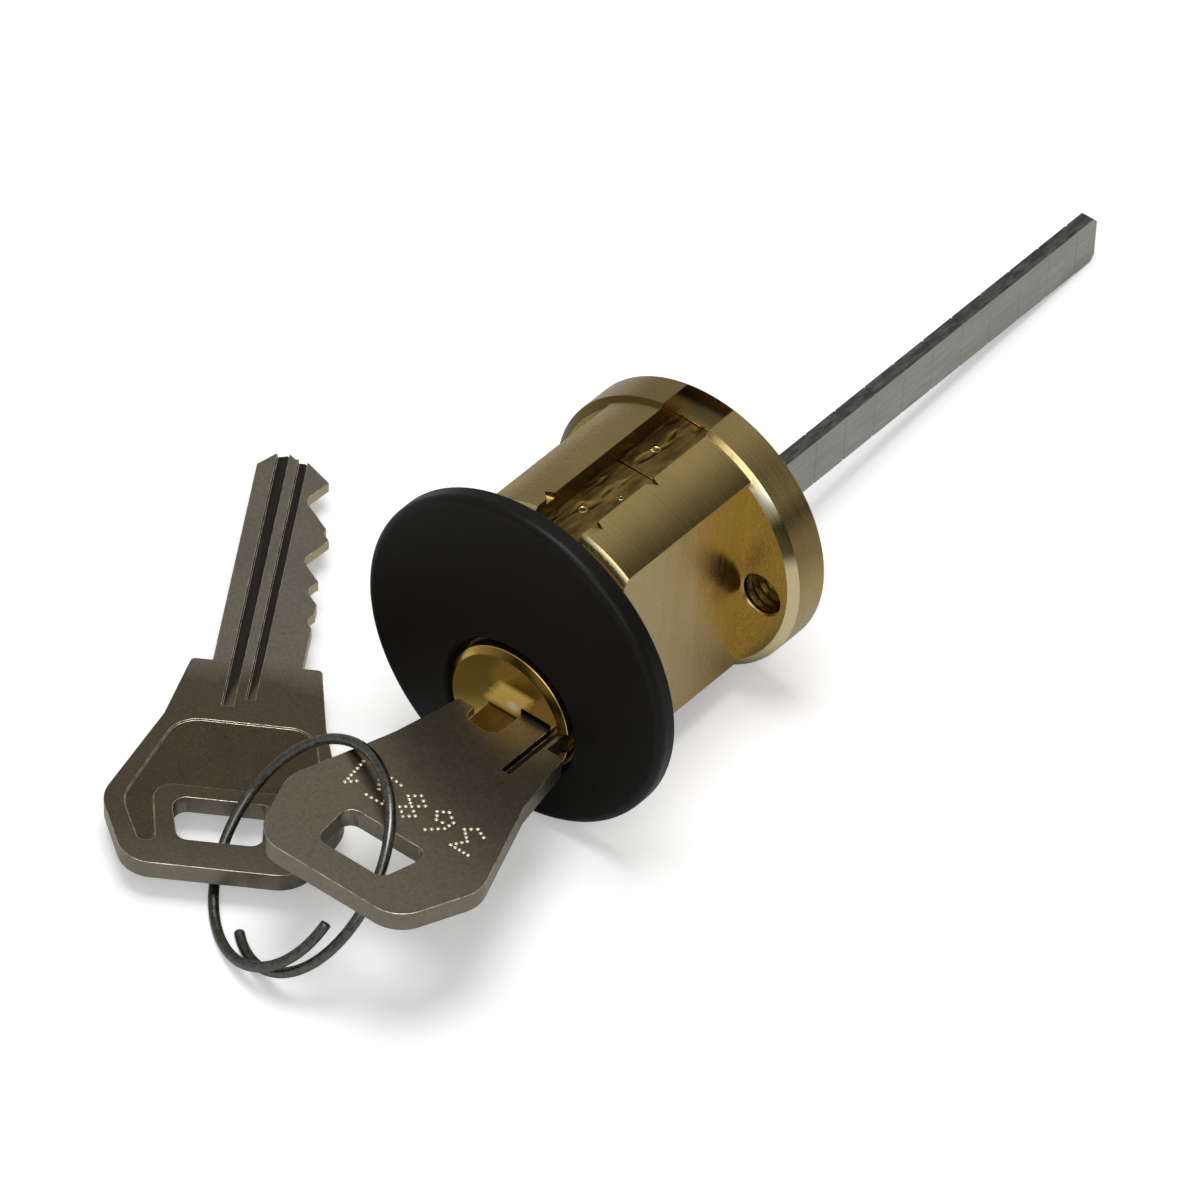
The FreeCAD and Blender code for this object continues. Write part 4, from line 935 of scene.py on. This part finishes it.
class CYLINDERLOCK_OT_keys(bpy.types.Operator):
    """Make both keys with tumbled edges and a punched number in the bow"""
    bl_idname = "cylinderlock.keys"
    bl_label = "Keys"

    FINISH_ORDER = ("plain", "worn_edge", "fresh_cut", "dark_panel", "punched_dot",
                    "dark_groove", "milled_channel")
    PANEL_DEPTH = 0.2 * MM
    PANEL_END = -7.0 * MM
    # The cuts lie on this side of x and between these y.
    CUT_SIDE = 1.2 * MM
    CUT_ENDS = (1.2 * MM, 24.0 * MM)
    # Groove walls lie between these x and past this y. The upper channel lies below its x.
    GROOVE_SIDES = (1.7 * MM, 6.2 * MM)
    GROOVE_END = -4.0 * MM
    CHANNEL_SIDE = 2.5 * MM
    FIRST_DIGIT = Vector((8.6, -13.8)) * MM
    DIGIT_PITCH = 3.25 * MM
    # A digit reads toward -X with its foot toward the lock and leans a little.
    DIGIT_RIGHT = Vector((-1.0, 0.0))
    DIGIT_DOWN = Vector((-0.15, 0.99))

    def execute(self, context):
        sizes = context.scene.lock_sizes
        for node, name, body, place, plain in (
                ("key", "key_in_lock", "plug_body", KEY_PLACE, "tumbled_nickel"),
                ("spare_key", "key_on_ring", "spare", SPARE_PLACE, "browned_nickel")):
            key = copy_of(node, name)
            key.data.materials.clear()
            for finish in (plain,) + self.FINISH_ORDER[1:]:
                key.data.materials.append(finish_named(finish))
            for face in key.data.polygons:
                face.material_index = 0
            self.mark_faces(key, place)
            soften(key, sizes.key_edge, 2, 25.0, self.FINISH_ORDER.index("worn_edge"))
            self.punch(key, place, sizes)
            smooth(key, 25.0)
            even_normals(key)
            self.unfold(key, place)
            seat(key, body, "key_nickel", node)
        return {"FINISHED"}

    def dots(self, sizes):
        """Places of the punched dots in the key's own frame."""
        rise = sizes.digit_height / 4
        wide = 1.25 * rise
        step = 3.0 * sizes.dot_radius
        places = []
        for number, digit in enumerate(sizes.key_number):
            middle = self.FIRST_DIGIT + Vector((-self.DIGIT_PITCH * number, 0.0))
            strokes = [middle + self.DIGIT_RIGHT * ((a - 1) * wide) +
                       self.DIGIT_DOWN * ((b - 2) * rise) for a, b in DIGIT_STROKES[digit]]
            for start, end in zip(strokes, strokes[1:]):
                count = max(1, round((end - start).length / step))
                places += [start.lerp(end, i / count) for i in range(count)]
            places.append(strokes[-1])
        return places

    def punch(self, key, place, sizes):
        top = KEY_THICK / 2
        radius = sizes.dot_radius
        depth = sizes.dot_depth
        bpy.ops.object.select_all(action="DESELECT")
        bpy.ops.mesh.primitive_uv_sphere_add(segments=12, ring_count=8, radius=radius)
        ball = bpy.context.view_layer.objects.active
        ball.data.materials.append(finish_named("punched_dot"))
        balls = []
        used = []
        for spot in self.dots(sizes):
            if any((spot - other).length < 2.1 * radius for other in used):
                continue
            used.append(spot)
            dot = ball.copy()
            dot.data = ball.data.copy()
            dot.matrix_world = place @ Matrix.Translation(
                (spot.x, spot.y, top + radius - depth))
            bpy.context.scene.collection.objects.link(dot)
            balls.append(dot)
        bpy.data.objects.remove(ball)
        bpy.ops.object.select_all(action="DESELECT")
        for dot in balls:
            dot.select_set(True)
        bpy.context.view_layer.objects.active = balls[0]
        bpy.ops.object.join()
        punches = bpy.context.view_layer.objects.active
        cut = key.modifiers.new("punch", "BOOLEAN")
        cut.operation = "DIFFERENCE"
        cut.solver = "EXACT"
        cut.object = punches
        cut.material_mode = "TRANSFER"
        apply_all(key)
        bpy.data.objects.remove(punches)

    def mark_faces(self, key, place):
        """Gives the cuts the colour of fresh metal and the panel its darker grain."""
        inverse = place.inverted()
        turn = inverse.to_3x3()
        fresh = self.FINISH_ORDER.index("fresh_cut")
        panel = self.FINISH_ORDER.index("dark_panel")
        groove = self.FINISH_ORDER.index("dark_groove")
        channel = self.FINISH_ORDER.index("milled_channel")
        panel_level = self.PANEL_DEPTH - KEY_THICK / 2
        for face in key.data.polygons:
            centre = inverse @ face.center
            normal = turn @ face.normal
            if centre.x < self.CUT_SIDE and self.CUT_ENDS[0] < centre.y < self.CUT_ENDS[1]:
                if abs(normal.z) < 0.5 and normal.x < 0.97:
                    face.material_index = fresh
            if normal.z < -0.9 and abs(centre.z - panel_level) < 0.05 * MM:
                if centre.y < self.PANEL_END:
                    face.material_index = panel
            # The lower grooves' faces get the painted groove shade.
            if abs(normal.z) > 0.9 and abs(centre.z) < 0.7 * MM:
                shallow = centre.z > 0 and centre.x < self.CHANNEL_SIDE
                face.material_index = channel if shallow else groove
            if abs(normal.z) < 0.1 and abs(normal.x) > 0.9:
                inside = self.GROOVE_SIDES[0] < centre.x < self.GROOVE_SIDES[1]
                if inside and centre.y > self.GROOVE_END:
                    face.material_index = groove

    def unfold(self, key, place):
        """Flat map of the key's own plane, with the shoulders at mid height."""
        inverse = place.inverted()
        width = KEY_MAP * MM
        layer = key.data.uv_layers.new(name="key_plane")
        for loop in key.data.loops:
            spot = inverse @ key.data.vertices[loop.vertex_index].co
            layer.data[loop.index].uv = (spot.x / width + 0.5, spot.y / width + 0.5)


class CYLINDERLOCK_OT_ring(bpy.types.Operator):
    """Finish the wire key ring"""
    bl_idname = "cylinderlock.ring"
    bl_label = "Key ring"

    def execute(self, context):
        ring = copy_of("key_ring", "wire_ring")
        soften(ring, 0.15 * MM, 3, 50.0)
        smooth(ring, 50.0)
        dress(ring, "drawn_wire", "ring", "ring_steel", "key_ring")
        return {"FINISHED"}


class CYLINDERLOCK_OT_stage(bpy.types.Operator):
    """Set the floor, the lights and the camera"""
    bl_idname = "cylinderlock.stage"
    bl_label = "Stage"

    # The lock lies on its flange's rim and the tail bar's tip.
    FLOOR_UNDER_FLANGE = -17.05 * MM
    FLOOR_RISE = 0.0996
    CAMERA_PLACE = Vector((516.644, -695.444, 796.946)) * MM
    CAMERA_TURN = (47.5603, -2.9355, 38.8839)
    CAMERA_LENS = 393.36
    # The sky is lightest behind the lock, high up, and darker toward the right.
    LIGHT_SIDE = (0.10, 0.60, 0.79)

    def execute(self, context):
        scene = context.scene
        scene.view_settings.view_transform = "Standard"
        self.floor()
        self.sky(scene)
        # Name, place in metres, size in metres, power in watts.
        for name, place, size, power in (
                ("overhead_light", (0.0, -0.08, 1.30), 0.70, 9.0),
                ("front_light", (0.55, -0.80, 0.85), 1.10, 4.5)):
            self.lamp(name, place, size, power)
        self.camera(scene)
        return {"FINISHED"}

    def floor(self):
        bpy.ops.object.select_all(action="DESELECT")
        bpy.ops.mesh.primitive_plane_add(size=6.0, location=(0, 0, self.FLOOR_UNDER_FLANGE),
                                         rotation=(math.atan(self.FLOOR_RISE), 0, 0))
        board = bpy.context.view_layer.objects.active
        board.name = "floor"
        board.data.materials.append(finish_named("pale_floor"))

    def sky(self, scene):
        scene.world = bpy.data.worlds.new("studio")
        sky = Nodes(scene.world, "BACKGROUND")
        direction = sky.node("ShaderNodeTexCoord", output="Generated")
        toward = sky.node("ShaderNodeVectorMath", {"operation": "DOT_PRODUCT"},
                          [direction, self.LIGHT_SIDE], output=1)
        glow = sky.ramp(toward, greys(((0.0, 0.30), (0.40, 0.30), (0.80, 0.34), (0.93, 0.42),
                                       (1.0, 0.50))))
        across = sky.axes(direction)[0]
        side = sky.ramp(sky.spread(across, -1.0, 1.0),
                        greys(((0.10, 1.0), (0.35, 0.95), (0.55, 1.0), (0.74, 0.45),
                               (1.0, 0.40))))
        sky.link("Color", sky.node("ShaderNodeVectorMath", {"operation": "MULTIPLY"},
                                   [glow, side]))
        sky.shader.inputs["Strength"].default_value = 1.0

    def lamp(self, name, place, size, power):
        bpy.ops.object.light_add(type="AREA", location=place)
        lamp = bpy.context.view_layer.objects.active
        lamp.name = name
        lamp.data.shape = "DISK"
        lamp.data.size = size
        lamp.data.energy = power
        aim = Vector((0.0, 0.01, 0.0)) - Vector(place)
        lamp.rotation_euler = aim.to_track_quat("-Z", "Y").to_euler()

    def camera(self, scene):
        bpy.ops.object.camera_add(location=self.CAMERA_PLACE,
                                  rotation=[math.radians(a) for a in self.CAMERA_TURN])
        camera = bpy.context.view_layer.objects.active
        camera.data.sensor_width = 36.0
        camera.data.lens = self.CAMERA_LENS
        camera.data.clip_start = 0.01
        camera.data.clip_end = 20.0
        scene.camera = camera


# Panel and registration

MAKING_ORDER = ("flange", "body", "covers", "threads", "plug", "tail", "pins", "keys", "ring",
                "stage")


class CYLINDERLOCK_PT_panel(bpy.types.Panel):
    """Lists the pieces of the lock"""
    bl_idname = "CYLINDERLOCK_PT_panel"
    bl_label = "Cylinder Lock"
    bl_space_type = "VIEW_3D"
    bl_region_type = "UI"
    bl_category = "Cylinder Lock"

    def draw(self, context):
        for step in MAKING_ORDER:
            self.layout.operator("cylinderlock." + step)
        for group in (context.scene.lock_sizes, context.scene.lock_colours):
            for name in group.__annotations__:
                self.layout.prop(group, name)


CLASSES = (
    CylinderLockSizes,
    CylinderLockColours,
    CYLINDERLOCK_OT_flange,
    CYLINDERLOCK_OT_body,
    CYLINDERLOCK_OT_covers,
    CYLINDERLOCK_OT_threads,
    CYLINDERLOCK_OT_plug,
    CYLINDERLOCK_OT_tail,
    CYLINDERLOCK_OT_pins,
    CYLINDERLOCK_OT_keys,
    CYLINDERLOCK_OT_ring,
    CYLINDERLOCK_OT_stage,
    CYLINDERLOCK_PT_panel,
)


def register():
    for each in CLASSES:
        bpy.utils.register_class(each)
    bpy.types.Scene.lock_sizes = bpy.props.PointerProperty(type=CylinderLockSizes)
    bpy.types.Scene.lock_colours = bpy.props.PointerProperty(type=CylinderLockColours)


def unregister():
    del bpy.types.Scene.lock_colours
    del bpy.types.Scene.lock_sizes
    for each in reversed(CLASSES):
        bpy.utils.unregister_class(each)


def main():
    register()
    for step in MAKING_ORDER:
        getattr(bpy.ops.cylinderlock, step)()


if __name__ == "__main__":
    main()
